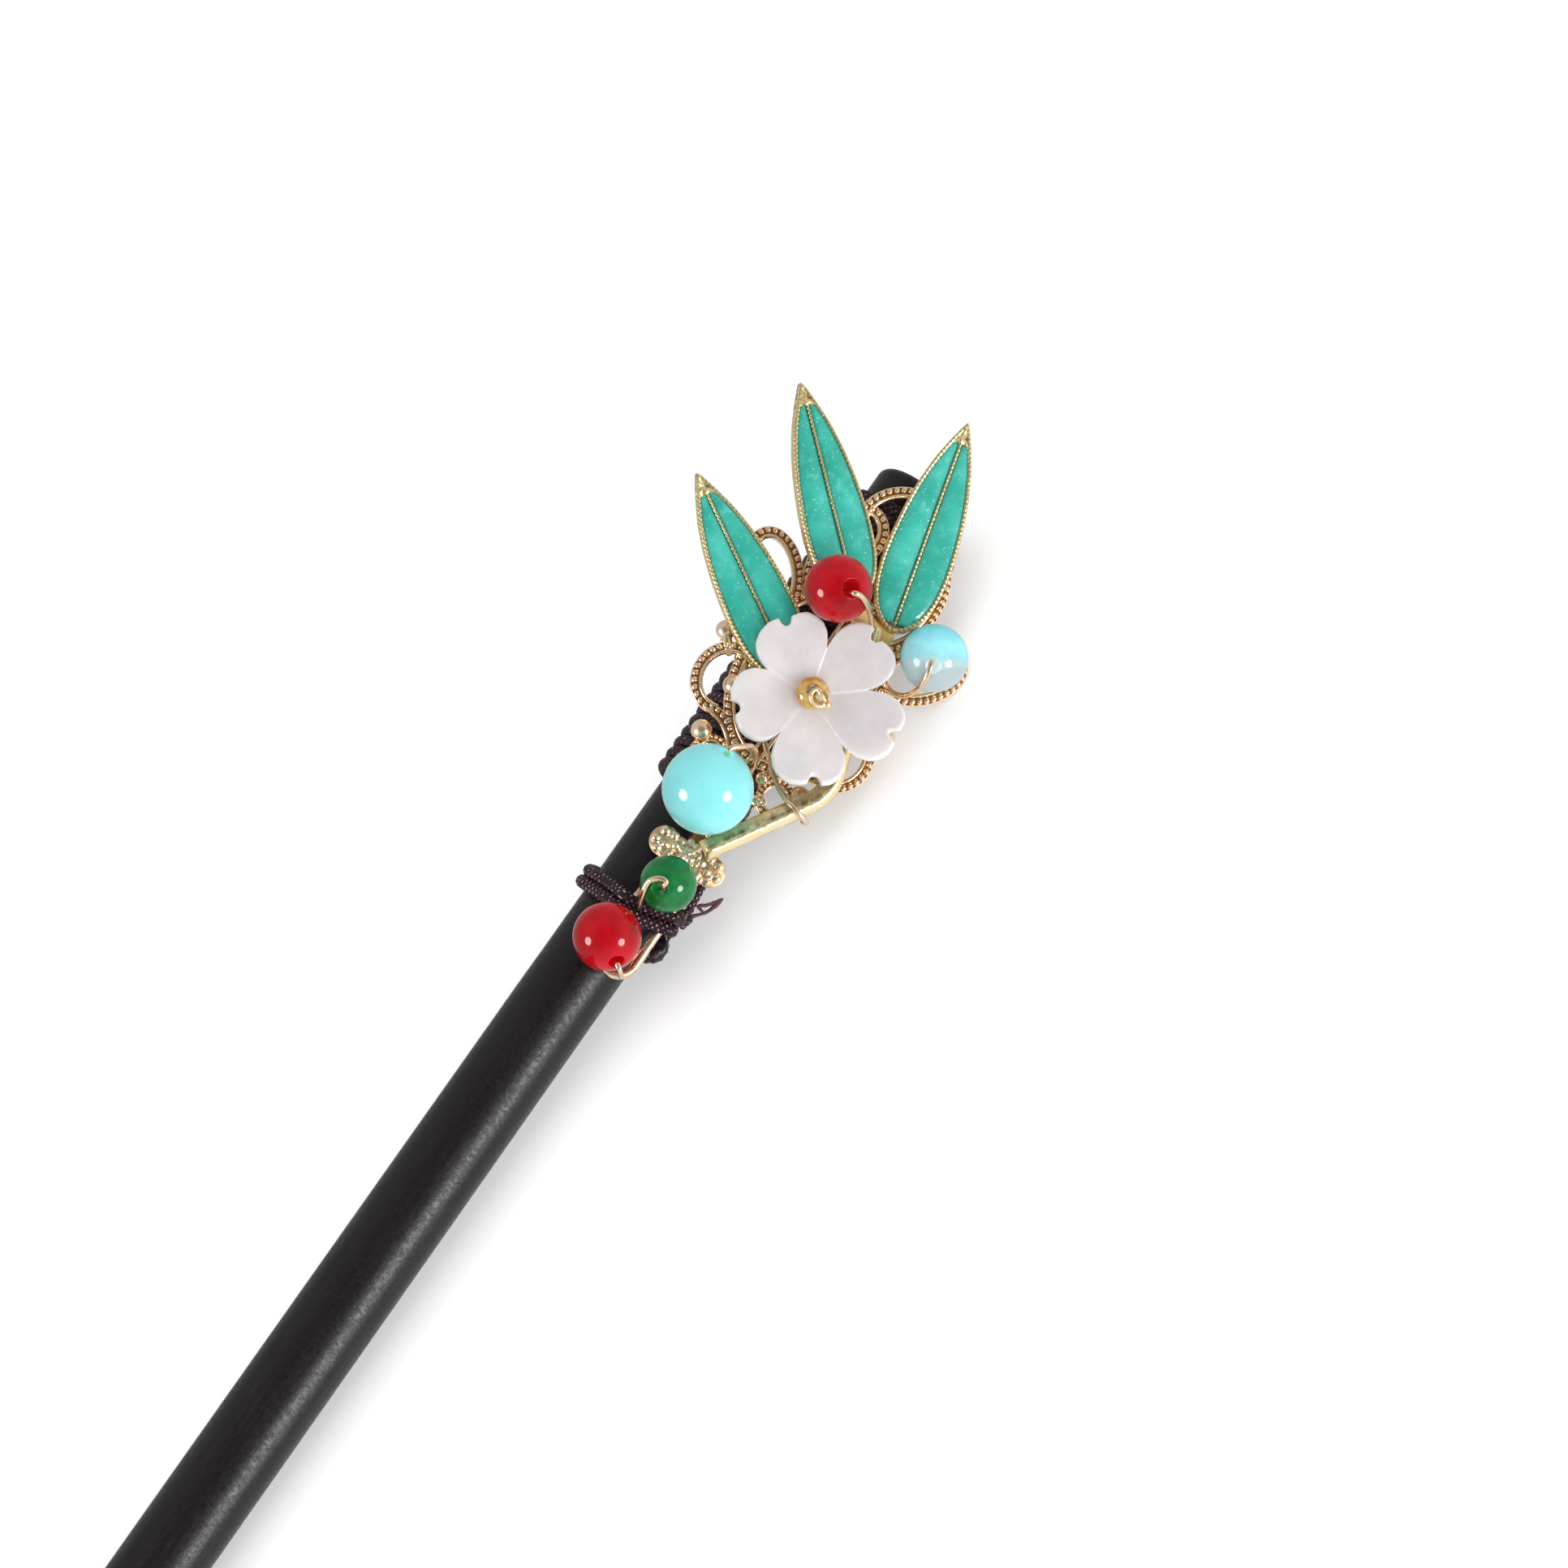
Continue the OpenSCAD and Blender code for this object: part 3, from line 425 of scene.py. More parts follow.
class Look(Nodes):
    """A material, with coordinates in millimetres along, across and out of the stick."""

    def __init__(self, name, colour, roughness, **even):
        self.material = bpy.data.materials.new(name)
        self.material.use_nodes = True
        super().__init__(self.material.node_tree)
        self.shader = self.tree.nodes["Principled BSDF"]
        self.even(Base_Color=(*colour, 1), Roughness=roughness, **even)
        self.where = self.places((1 / MM, 1 / MM, 1 / MM))

    def even(self, **values):
        """Values that are the same all over, on the shader's own sockets."""
        for socket, value in values.items():
            self.shader.inputs[socket.replace("_", " ")].default_value = value

    def finished(self, **outputs):
        """The material, with the outputs linked to its shader's sockets."""
        for socket, output in outputs.items():
            self.tree.links.new(output, self.shader.inputs[socket.replace("_", " ")])
        return self.material

    def places(self, stretch):
        """Coordinates along, across and out of the stick, stretched."""
        values = {"Rotation": (0, -math.asin(-ALONG[2]), 0), "Scale": stretch}
        links = {"Vector": self.coordinates("Object")}
        return self.add("ShaderNodeMapping", values, links).outputs["Vector"]

    def noise(self, size, detail=3.0, roughness=0.5, stretch=None):
        """Cloudy noise with features of about the size in millimetres."""
        values = {"Scale": 1 / size, "Detail": detail, "Roughness": roughness}
        where = self.places(stretch) if stretch else self.where
        return self.add("ShaderNodeTexNoise", values, {"Vector": where}).outputs["Fac"]

    def ramp(self, value, *stops):
        """A colour for the value, from stops that are each (value, colour)."""
        node = self.add("ShaderNodeValToRGB", links={"Fac": value})
        ends = node.color_ramp.elements
        while len(ends) < len(stops):
            ends.new(0.5)
        for end, (at, colour) in zip(ends, stops):
            end.position = at
            end.color = (*colour, 1)
        return node.outputs["Color"]

    def blend(self, value, low, high):
        """A colour between two, each a colour or an output."""
        node = self.add("ShaderNodeMix", links={"Factor": value}, data_type="RGBA")
        for socket, colour in ((MIX_LOW, low), (MIX_HIGH, high)):
            if isinstance(colour, tuple):
                node.inputs[socket].default_value = (*colour, 1)
            else:
                self.tree.links.new(colour, node.inputs[socket])
        return node.outputs[MIX_RESULT]

    def bump(self, height, depth, strength, before=None):
        """Relief of the depth in millimetres, on top of an earlier one."""
        links = {"Height": height, "Normal": before} if before else {"Height": height}
        values = {"Strength": strength, "Distance": depth * MM}
        return self.add("ShaderNodeBump", values, links).outputs["Normal"]

    def grooves(self):
        """The shapes' own groove values."""
        return self.add("ShaderNodeAttribute", attribute_name="groove").outputs["Fac"]

    def flecks(self, size, share):
        """1 in a share of small cells, 0 elsewhere."""
        cells = self.add("ShaderNodeTexVoronoi", {"Scale": 1 / size}, {"Vector": self.where})
        split = self.add("ShaderNodeSeparateColor", links={"Color": cells.outputs["Color"]})
        return self.spread(split.outputs["Red"], 0, 1, 1 - share, 1 - share * 0.6)

    def glow_in_hole(self, colour, strength):
        """Strength of the light that comes through the glass to the walls of its hole."""
        self.even(Emission_Color=(*colour, 1))
        return self.spread(self.grooves(), 0, strength)


def make_wood():
    look = Look("dark_wood", (0.008, 0.006, 0.006), 0.34, Specular_IOR_Level=0.3)
    streaks = look.noise(0.5, 6, 0.6, (60, 1000, 1000))
    crinkles = look.noise(0.34, 5, 0.62, (1100, 800, 800))
    colour = look.ramp(streaks, (0.3, (0.0045, 0.003, 0.0032)), (0.55, (0.009, 0.0062, 0.0066)),
                       (0.8, (0.02, 0.0135, 0.0135)))
    clouds = look.spread(look.noise(9, 2), 0, 0.5, 0.35, 0.7)
    return look.finished(Base_Color=look.blend(clouds, colour, (0.007, 0.0045, 0.005)),
                         Roughness=look.spread(crinkles, 0.26, 0.5, 0.35, 0.68),
                         Normal=look.bump(streaks, 0.03, 0.5, look.bump(crinkles, 0.045, 0.7)))


def make_cord(name, low, mid, high, painted_highlight):
    """Braided cord, with painted shade in its hollows and painted highlights on the crests of some of
    its strands.
    """
    look = Look(name, mid, 0.5, Specular_IOR_Level=0.22)
    threads = look.noise(0.1, 3, 0.6)
    hollow = look.grooves()
    colour = look.ramp(threads, (0.3, low), (0.5, mid), (0.75, high))
    # painted shade in the braid's hollows
    dark = look.blend(look.spread(hollow, 0, 0.85, 0.2, 0.75), colour, low)
    # painted highlights where some strands rise highest
    highlight_share = look.reckoned("MULTIPLY", look.spread(hollow, 1, 0, 0.03, 0.26),
                         look.spread(look.noise(0.45, 2), 0, 1, 0.44, 0.54))
    return look.finished(Base_Color=look.blend(highlight_share, dark, painted_highlight),
                         Normal=look.bump(threads, 0.05, 0.7))


def make_melted_cord():
    look = Look("melted_cord", (0.01, 0.005, 0.007), 0.35, Specular_IOR_Level=0.3)
    lumps = look.noise(0.5, 3)
    colour = look.ramp(lumps, (0.3, (0.004, 0.002, 0.003)), (0.7, (0.02, 0.009, 0.012)))
    return look.finished(Base_Color=colour, Roughness=look.spread(lumps, 0.2, 0.45),
                         Normal=look.bump(lumps, 0.12, 0.7))


def make_metal(name, bright, mid, dark, roughness, grain=0.35, relief=0.03, metallic=1.0):
    """Gilt metal, with its hollows painted darker, as shade with some patina, and duller."""
    look = Look(name, mid, roughness, Metallic=metallic)
    fine = look.noise(grain, 3, 0.6)
    hollow = look.grooves()
    colour = look.ramp(look.noise(2.2, 4, 0.6), (0.3, mid), (0.7, bright))
    worn = look.spread(fine, roughness * 0.7, roughness * 1.5, 0.3, 0.7)
    # painted shade, with some patina, in the hollows
    return look.finished(Base_Color=look.blend(hollow, colour, dark),
                         Roughness=look.reckoned("MULTIPLY_ADD", hollow, 0.3, worn),
                         Normal=look.bump(fine, relief, 0.5))


def make_enamel():
    """Green enamel with pearly streaks and flecks of mica, with painted shade along its edges."""
    look = Look("green_enamel", (0.02, 0.42, 0.29), 0.3, Coat_Weight=0.6, Coat_Roughness=0.12,
                Specular_IOR_Level=0.4)
    streaks = look.noise(0.9, 4, 0.6)
    mica = look.flecks(0.11, 0.016)
    base = look.ramp(look.noise(3.4, 3, 0.5), (0.3, (0.018, 0.38, 0.28)), (0.5, (0.03, 0.46, 0.36)),
                     (0.7, (0.06, 0.57, 0.46)))
    pearly = look.blend(look.spread(streaks, 0, 0.45, 0.52, 0.75), base, (0.17, 0.75, 0.64))
    # painted shade along the edges, where the enamel meets the walls
    edges = look.blend(look.grooves(), pearly, (0.004, 0.12, 0.085))
    return look.finished(Base_Color=look.blend(mica, edges, (0.34, 0.86, 0.74)),
                         Metallic=look.spread(mica, 0, 0.5),
                         Roughness=look.spread(streaks, 0.22, 0.4, 0.3, 0.7),
                         Normal=look.bump(streaks, 0.05, 0.35))


def make_pearl():
    look = Look("mother_of_pearl", (0.7, 0.66, 0.665), 0.34, Subsurface_Weight=0.35,
                Subsurface_Scale=0.0012, Subsurface_Radius=(1.0, 0.85, 0.8), Coat_Weight=0.35,
                Coat_Roughness=0.22, Sheen_Weight=0.12, Sheen_Roughness=0.5)
    ripples = look.noise(1.3, 5, 0.6)
    base = look.ramp(look.noise(4.5, 4, 0.6), (0.3, (0.59, 0.56, 0.57)), (0.5, (0.65, 0.61, 0.61)),
                     (0.72, (0.73, 0.69, 0.685)))
    tinted = look.blend(look.spread(ripples, 0, 0.4, 0.5, 0.75), base, (0.74, 0.675, 0.66))
    # painted highlights along the petals' rims, and lighter lines along the seams
    return look.finished(Base_Color=look.blend(look.grooves(), tinted, (0.92, 0.9, 0.89)),
                         Roughness=look.spread(ripples, 0.28, 0.42, 0.3, 0.7),
                         Normal=look.bump(ripples, 0.04, 0.35))


def make_glass_bead(name, dark, mid, light, roughness, depth, **even):
    """Glossy glass or stone bead with a cloudy body."""
    look = Look(name, mid, roughness, Subsurface_Weight=depth, Subsurface_Scale=0.002,
                Subsurface_Radius=tuple(0.3 + 0.7 * c for c in light), **even)
    colour = look.ramp(look.noise(2.6, 3, 0.55), (0.3, dark), (0.5, mid), (0.72, light))
    return look.finished(
        Base_Color=colour, Emission_Strength=look.glow_in_hole(mid, 0.4),
        Roughness=look.spread(look.noise(0.7, 2), roughness * 0.8, roughness * 1.3))


def make_aqua(middle, toward, radius):
    """Aqua glass, cloudy on one side and clear frosted on the other."""
    look = Look("aqua_glass", (0.3, 0.8, 0.9), 0.12, IOR=1.45, Subsurface_Weight=0.35,
                Subsurface_Scale=0.002)
    inside = look.add("ShaderNodeVectorMath", {1: tuple(middle)},
                      {0: look.coordinates("Object")}, operation="SUBTRACT")
    share = look.reach(inside.outputs["Vector"], toward / radius)
    cloud = look.noise(1.6, 3)
    wavy = look.reckoned("ADD", share, look.spread(cloud, -0.14, 0.14, 0.3, 0.7))
    colour = look.ramp(
        look.spread(wavy, 0, 1, -0.8, 0.9), (0.1, (0.6, 0.68, 0.69)), (0.36, (0.58, 0.7, 0.72)),
        (0.5, (0.34, 0.72, 0.77)), (0.72, (0.33, 0.8, 0.86)), (0.95, (0.2, 0.66, 0.74)))
    return look.finished(
        Base_Color=colour, Transmission_Weight=look.spread(wavy, 0.45, 0.0, -0.35, 0.3),
        Roughness=look.spread(cloud, 0.08, 0.2),
        Emission_Strength=look.glow_in_hole((0.62, 0.78, 0.8), 0.5))


def make_clouded_glass(name, dark, middle, pale):
    look = Look(name, middle, 0.08, Coat_Weight=0.6, Coat_Roughness=0.03, IOR=1.5,
                Transmission_Weight=0.25, Subsurface_Weight=0.2, Subsurface_Scale=0.0015)
    return look.finished(
        Base_Color=look.ramp(look.noise(0.9, 3), (0.3, dark), (0.5, middle), (0.72, pale)))


WOOD = make_wood()
# the first colour of a cord also serves as its painted shade in the hollows, and the last is its
# painted highlight
CORD = make_cord("braided_cord", (0.011, 0.004, 0.006), (0.036, 0.013, 0.019),
                 (0.1, 0.043, 0.056), (0.62, 0.44, 0.49))
FRAYED = make_cord("frayed_cord", (0.05, 0.016, 0.022), (0.14, 0.055, 0.068),
                   (0.3, 0.15, 0.17), (0.5, 0.32, 0.34))
MELTED = make_melted_cord()
# the third colour of each metal is the painted shade, with some patina, in its hollows
ROSE_GILT = make_metal("rose_gilt", (1.0, 0.82, 0.6), (0.98, 0.69, 0.43), (0.42, 0.17, 0.055),
                       0.18, 0.5, 0.014)
CAST_GILT = make_metal("cast_gilt", (1.0, 0.84, 0.6), (0.92, 0.69, 0.43), (0.4, 0.22, 0.08),
                       0.26, 0.8, 0.008, 0.95)
GILT = make_metal("gilt", (1.0, 0.88, 0.53), (0.92, 0.73, 0.34), (0.17, 0.11, 0.035),
                  0.26, 0.3, 0.12)
FOOT_GILT = make_metal("leaf_foot_gilt", (1.0, 0.78, 0.36), (1.0, 0.66, 0.22), (0.3, 0.13, 0.04),
                       0.42, 0.5, 0.02, 0.92)
STEM_GILT = make_metal("stem_gilt", (0.97, 0.81, 0.5), (0.88, 0.7, 0.38), (0.14, 0.11, 0.04),
                       0.24, 0.35, 0.03, 0.86)
WIRE = make_metal("rose_gilt_wire", (0.92, 0.71, 0.5), (0.85, 0.6, 0.38), (0.3, 0.15, 0.08), 0.16)
COIL_GILT = make_metal("coil_gilt", (1.0, 0.8, 0.48), (0.95, 0.66, 0.32), (0.4, 0.2, 0.07), 0.34)
ENAMEL = make_enamel()
PEARL = make_pearl()
AMBER = make_clouded_glass("amber_glass", (0.42, 0.19, 0.02), (0.67, 0.38, 0.075),
                           (0.9, 0.67, 0.27))
CREAM = make_clouded_glass("cream_glass", (0.55, 0.42, 0.24), (0.68, 0.55, 0.36),
                           (0.82, 0.72, 0.55))
TURQUOISE = make_glass_bead("turquoise_glass", (0.24, 0.7, 0.71), (0.26, 0.73, 0.74),
                            (0.29, 0.76, 0.77), 0.1, 0.4, Sheen_Weight=0.15, Sheen_Roughness=0.25)
RED = make_glass_bead("red_glass", (0.27, 0.001, 0.004), (0.42, 0.001, 0.006),
                      (0.56, 0.004, 0.014), 0.08, 0.12, Specular_IOR_Level=0.28)
GREEN = make_glass_bead("green_stone", (0.002, 0.085, 0.014), (0.004, 0.15, 0.03),
                        (0.02, 0.25, 0.07), 0.09, 0.2, Specular_IOR_Level=0.35)


# Stick: the solid itself, in dark wood
stick = frame["nodes"]["stick"]
stick.data.materials.clear()
stick.data.materials.append(WOOD)


# Cord
BRAID_DEPTH = 0.2
WINDING_BULGE = 0.55
WINDING_STEPS = 190
BINDING_PITCH = 2 * CORD_R + BINDING_GAP
# how far the binding sags towards the tail, round which angle, and over what spread
SAG, SAG_AT, SAG_SPREAD = 0.3, 82, 20
# length of a braid's repeat, and strands round it
BINDING_BRAID = (0.56, 5)
BINDING_R = CORD_R * 1.15
KNOT_R = CORD_R * 0.88
CORD_END_R = CORD_R * 0.8


def braid(along, sides, length=0.62, strands=4):
    """Form and groove of a braid's section, for each distance along it; the cord's material paints
    shade in the groove.
    """
    u = np.asarray(along)[:, None] / length
    v = np.arange(sides)[None, :] / sides * strands
    one, two = u + v, u - v
    one_over = (np.floor(one + 0.5) + np.floor(two + 0.5)) % 2 == 0
    over = np.where(one_over, one, two)
    under = np.where(one_over, two, one)
    high = np.abs(np.cos(math.pi * over)) ** 0.7 * (
        0.35 + 0.65 * np.abs(np.cos(math.pi * under)) ** 0.6)
    return 1 - BRAID_DEPTH * (1 - high), np.clip(1.15 * (1 - high), 0, 1)


def cord_winding():
    sides = 12
    seat = STICK_R + SEAT_GAP
    middle_r = seat + WINDING_HEIGHT / 2
    turns = np.linspace(0, WINDING_TURNS, WINDING_TURNS * WINDING_STEPS + 1)
    a = TURN * turns
    out = np.stack([np.cos(a), np.zeros_like(a), np.sin(a)], 1)
    route = out * middle_r
    # the first and the last turn run level with the ends of the winding
    route[:, 1] = -WINDING_START - WINDING_PITCH / 2 - WINDING_PITCH * np.clip(
        turns - 0.5, 0, WINDING_TURNS - 1)
    form, groove = braid(a * middle_r, sides)
    points, faces, marks = tube(route, 1.0, sides, up=out, wide=WINDING_PITCH * 0.51,
                                high=WINDING_HEIGHT / 2, form=form, groove=groove)
    # the base presses the turns flat, and they bulge beside it
    reach = np.hypot(points[:, 0], points[:, 2])
    beside = np.clip(-points[:, 0] / reach, 0, 1) ** 1.5
    swollen = seat + (reach - seat) * (1 + WINDING_BULGE * beside)
    points[:, [0, 2]] *= (swollen / reach)[:, None]
    return points, faces, marks


def turn_of(p):
    return math.degrees(math.atan2(p[1], p[0]))


def touch_turn(p, side):
    """Where a straight run of the cord from the point touches the ring round the stick."""
    return turn_of(p) + side * math.degrees(math.acos(BINDING_RING_R / math.hypot(*p)))


TAIL_ACROSS = BASE_ACROSS + (BINDING_AT + BINDING_PITCH) * math.sin(BASE_TURN)
CORNER_REACH = TAIL_HALF + TAIL_WIDTH / 2 + SEAT_GAP + CORD_R
BINDING_RIGHT = (TAIL_ACROSS + CORNER_REACH, BINDING_OVER)
BINDING_LEFT = (min(TAIL_ACROSS - CORNER_REACH, 0), BINDING_OVER)
RIGHT_TURN, LEFT_TURN = turn_of(BINDING_RIGHT), turn_of(BINDING_LEFT)
RIGHT_TOUCH, LEFT_TOUCH = touch_turn(BINDING_RIGHT, -1), touch_turn(BINDING_LEFT, 1)


def binding_reach(turn):
    """How far the binding's middle line is from the stick's axis."""
    if RIGHT_TURN <= turn <= LEFT_TURN:
        return BINDING_OVER / math.sin(math.radians(turn))
    if RIGHT_TOUCH < turn < LEFT_TOUCH:
        touch = RIGHT_TOUCH if turn < RIGHT_TURN else LEFT_TOUCH
        return BINDING_RING_R / math.cos(math.radians(turn - touch))
    return BINDING_RING_R


def binding_point(at):
    """The binding's middle line, at an angle that counts on from turn to turn."""
    turn = at % 360
    if turn > 180:
        turn -= 360
    r = binding_reach(turn)
    across = r * math.cos(math.radians(turn))
    out = r * math.sin(math.radians(turn))
    along = BINDING_AT + BINDING_PITCH * (at - BINDING_START) / 360
    along += SAG * math.exp(-((turn - SAG_AT) / SAG_SPREAD) ** 2)
    return np.array([across, across * LEAN_ACROSS - out * LEAN_OUT - along, out])


BINDING_END = 360 * BINDING_TURNS + BINDING_START
KNOT_OFF = (0.42, -0.42, 1.15)
KNOT_LOOP = ((-0.65, 0.5, -0.9), (-0.45, 0.15, -0.35), (-0.1, -0.35, 0.25), (0.3, -0.25, 0.45),
             (0.42, 0.2, 0.2), (0.1, 0.42, 0.1), (-0.3, 0.2, 0.3), (-0.3, -0.2, 0.45))
KNOT_CROSS = ((0.35, -0.4, -0.35), (0.1, -0.15, 0.2), (-0.05, 0.15, 0.42), (0, 0.45, 0.05),
              (0.1, 0.5, -0.35))
MELTED_OFF = ((0.1, -0.75, 0.42), (0.25, -1.1, 0.6), (0.25, -1.7, 0.75), (0.0, -2.3, 0.8),
              (-0.2, -2.75, 0.7))
# the cord comes down from the winding under the right rosette
FROM_WINDING = ((4.45, -40.4, 2.6), (4.6, -41.7, 2.9), (4.8, -43.4, 3.0), (5.0, -44.6, 2.9))
# two frayed strands: their points, and their radii at shares of their length
FRAY_LOW = ((5.1, -44.8, 3), (5.6, -44.14, 3), (6.11, -43.52, 3), (6.38, -42.97, 3.05),
            (6.55, -42.37, 3), (6.69, -41.63, 2.95))
FRAY_LOW_R = ((0, 0.3, 0.6, 0.85, 1), (0.26, 0.15, 0.17, 0.24, 0.12))
FRAY_HIGH = ((6.08, -43.5, 3.05), (5.36, -43.35, 3.15), (5.87, -42.85, 3.2), (6.24, -42.34, 3.1),
             (6.68, -41.61, 2.95))
FRAY_HIGH_R = ((0, 0.25, 0.5, 1), (0.1, 0.2, 0.17, 0.16))
# the melted end's radii, in shares of the cord's
MELTED_R = ((0, 0.2, 0.5, 0.8, 1), (1.02, 1.3, 1.7, 1.6, 1.0))


def braided(route, radii, sides=28, step=0.09):
    """A braided cord along the route, with the radius given for each of its points."""
    even, along = resampled(route, step)
    radius = np.interp(along, distances(route), np.broadcast_to(radii, (len(route),)))
    form, groove = braid(along, sides, *BINDING_BRAID)
    return tube(even, radius, sides, form=form, groove=groove)


def from_point(at, offsets):
    """A smooth route through offsets from a point."""
    return spline([at + p for p in offsets], 8)


def cord_binding():
    turns = [binding_point(w) for w in np.arange(BINDING_START, BINDING_END + 1, 3)]
    end = turns[-1]
    into_end = spline([turns[-2], end, end + (0.1, -0.6, 0.3), end + (0.1, -1.1, 0.6)], 6)[6:]
    knot_at = binding_point(BINDING_START) + KNOT_OFF
    return [braided(np.vstack([turns, into_end[1:]]), BINDING_R),
            braided(from_point(knot_at, KNOT_LOOP), KNOT_R),
            braided(from_point(knot_at, KNOT_CROSS), CORD_END_R),
            braided(spline(FROM_WINDING, 8), CORD_END_R)]


def frayed_end():
    shapes = []
    for points, radii in ((FRAY_LOW, FRAY_LOW_R), (FRAY_HIGH, FRAY_HIGH_R)):
        route = spline(points, 8)
        shapes.append(braided(route, np.interp(np.linspace(0, 1, len(route)), *radii), 12, 0.07))
    return shapes


def melted_end():
    route = from_point(binding_point(BINDING_END), MELTED_OFF)
    share = np.linspace(0, 1, len(route))
    sides = 24
    turn = TURN * np.arange(sides)[None, :] / sides
    lumps = (ripple(share[:, None] * 5, np.cos(turn) * 1.6, 8)
             + ripple(share[:, None] * 7, np.sin(turn) * 1.9, 9))
    return tube(route, CORD_R * np.interp(share, *MELTED_R), sides, form=1 + 0.2 * lumps,
                groove=np.clip(0.4 - 0.8 * lumps, 0, 1), caps=5)


piece("winding_cord", ["cord_winding"], "cord", CORD, [cord_winding()])
piece("binding_cord", ["cord_binding"], "cord", CORD, cord_binding())
piece("frayed_strand", ["cord_binding"], "cord", FRAYED, frayed_end())
piece("cord_melted_end", ["cord_binding"], "cord", MELTED, [melted_end()])


# Openwork base
def on_base(across, along):
    return np.array([across * BASE_HALF_WIDTH, -BASE_TOP_AT - along * BASE_LENGTH])


def base_placed(points):
    """From the base's own plan and height to the ornament's frame."""
    plan = turned(points[:, :2], BASE_TURN) + (BASE_ACROSS, 0)
    return np.column_stack([plan, points[:, 2] + BASE_Z])


# centre across and along, radius across and along, tilt, and where the arc starts and ends
SIDE_SCROLLS = (
    (0.23, 0.176, 0.3, 0.1, 0, -72, 62),
    (0.327, 0.125, 0.175, 0.044, 0, 55, 240),
    (0.727, 0.268, 0.327, 0.042, 50, -172, 132),
    (0.54, 0.466, 0.235, 0.056, 0, -105, 112),
    (0.53, 0.458, 0.105, 0.042, 0, 118, 205),
    (0.55, 0.617, 0.44, 0.095, 0, 90, 155),
    (0.318, 0.59, 0.123, 0.028, 0, 0, 360)
)
MIDDLE_SCROLLS = (
    (0, 0.09, 0.391, 0.081, 0, -8, 188),
    (0, 0.389, 0.545, 0.165, 0, 0, 360)
)
SMALL_RING = 0.72
# place across and along, radius, and height of the middle
UPPER_END = (0.773, 0.395)
ROUND_ENDS = (
    (*UPPER_END, 0.88, 0.04), (0.464, 0.468, 1.02, 0.42), (0.473, 0.563, 1.0, 0.42),
    (0.25, 0.168, 0.7, 0), (0.145, 0.572, 0.8, 0), (0.214, 0.608, 0.8, 0)
)
# granules beside the upper round end: offsets in millimetres, and radius
GRANULES = ((-0.35, -1.1, 0.26), (-0.8, -1.25, 0.3), (-1.25, -1.1, 0.24))
# a scroll's rail, row of beads, rim and strip: where they lie beside its plan, the height
# of their middles, and their sizes
RAIL_OFF, RAIL_AT, RAIL_R, RAIL_HIGH = -0.32, 0.5, 0.2, 1.7
PEARL_OFF, PEARL_AT, PEARL_WIDE, PEARL_HIGH = 0.2, 0.55, 0.27, 0.3
RIM_OFF, RIM_AT, RIM_R, RIM_HIGH = 0.49, 0.4, 0.1, 1.6
# the strip's last value is how much shade is painted on it, below the rail and beads
STRIP_AT, STRIP_R, STRIP_WIDE, STRIP_SHADE = 0.28, 0.25, 2.0, 0.85
# distance and slant of the beads, and half a bead's length in shares of the distance
PEARL_PITCH, PEARL_SLANT, PEARL_HALF = 0.66, 0.35, 0.53
GRANULE_AT = 0.6
LINK_R = 0.35
SPINE_RAIL_OFF, SPINE_RAIL_HIGH = 0.42, 1.4
SPINE_AT, SPINE_R, SPINE_WIDE = 0.22, 0.2, 3.2
# the tail's band, and how deep it is beaten in shares of its radius
BAND_R = 0.42
BEATEN = 0.16


def scroll_plan(scroll):
    across, along, r_across, r_along, tilt, start, end = scroll
    turn = np.radians(np.linspace(start, end, int((end - start) / 4) + 1))
    arc = np.stack([r_across * BASE_HALF_WIDTH * np.cos(turn),
                    r_along * BASE_LENGTH * np.sin(turn)], 1)
    closed = end - start == 360
    plan = on_base(across, along) + turned(arc, math.radians(tilt))
    return (plan[:-1] if closed else plan), closed


def pearl_row(plan, closed, pitch, wide, high, height):
    """A row of oblong beads, like a milled wire."""
    even, along = resampled(plan, pitch / 2, closed)
    if closed:
        even = np.vstack([even, even[:1]])
        along = np.append(along, along[-1] + pitch / 2)
    count = max(int(round(along[-1] / pitch)), 1)
    step = along[-1] / count
    shapes = []
    for at in step * (np.arange(count) + 0.5):
        before, middle, after = [np.array([np.interp(at + d, along, c) for c in even.T])
                                 for d in (-0.05, 0, 0.05)]
        turn = math.atan2(after[1] - before[1], after[0] - before[0])
        points, faces, _ = ball((*middle, height), 1, 8, 12, (step * PEARL_HALF, wide, high),
                                turn + PEARL_SLANT)
        ahead = (points[:, :2] - middle) @ (math.cos(turn), math.sin(turn))
        # painted shade in the gaps between the beads
        shapes.append((points, faces, np.clip(np.abs(ahead) / step * 4 - 1.05, 0, 1)))
    return shapes


def scroll_shapes(plan, closed, share=1.0):
    """One scroll: a plain rail, a row of oblong beads outside it and a strip below both, with painted
    shade on the strip.
    """
    rail, beads, rim = (offset_plan(plan, closed, off * share)
                        for off in (RAIL_OFF, PEARL_OFF, RIM_OFF))
    return [plan_tube(rail, RAIL_AT, RAIL_R * share, 12, closed, high=RAIL_HIGH),
            *pearl_row(beads, closed, PEARL_PITCH * share, PEARL_WIDE * share, PEARL_HIGH,
                       PEARL_AT),
            plan_tube(rim, RIM_AT, RIM_R * share, 8, closed, high=RIM_HIGH),
            plan_tube(plan, STRIP_AT, STRIP_R, 12, closed, wide=STRIP_WIDE * share,
                      groove=STRIP_SHADE)]


# a boss: the power that melts its lumps together, the least of its dome at the edge, the
# height of its foot, and how deep its lumps are sunk
MELT, BOSS_EDGE, BOSS_FOOT, LUMP_SUNK = 8, 0.12, 0.05, 0.12


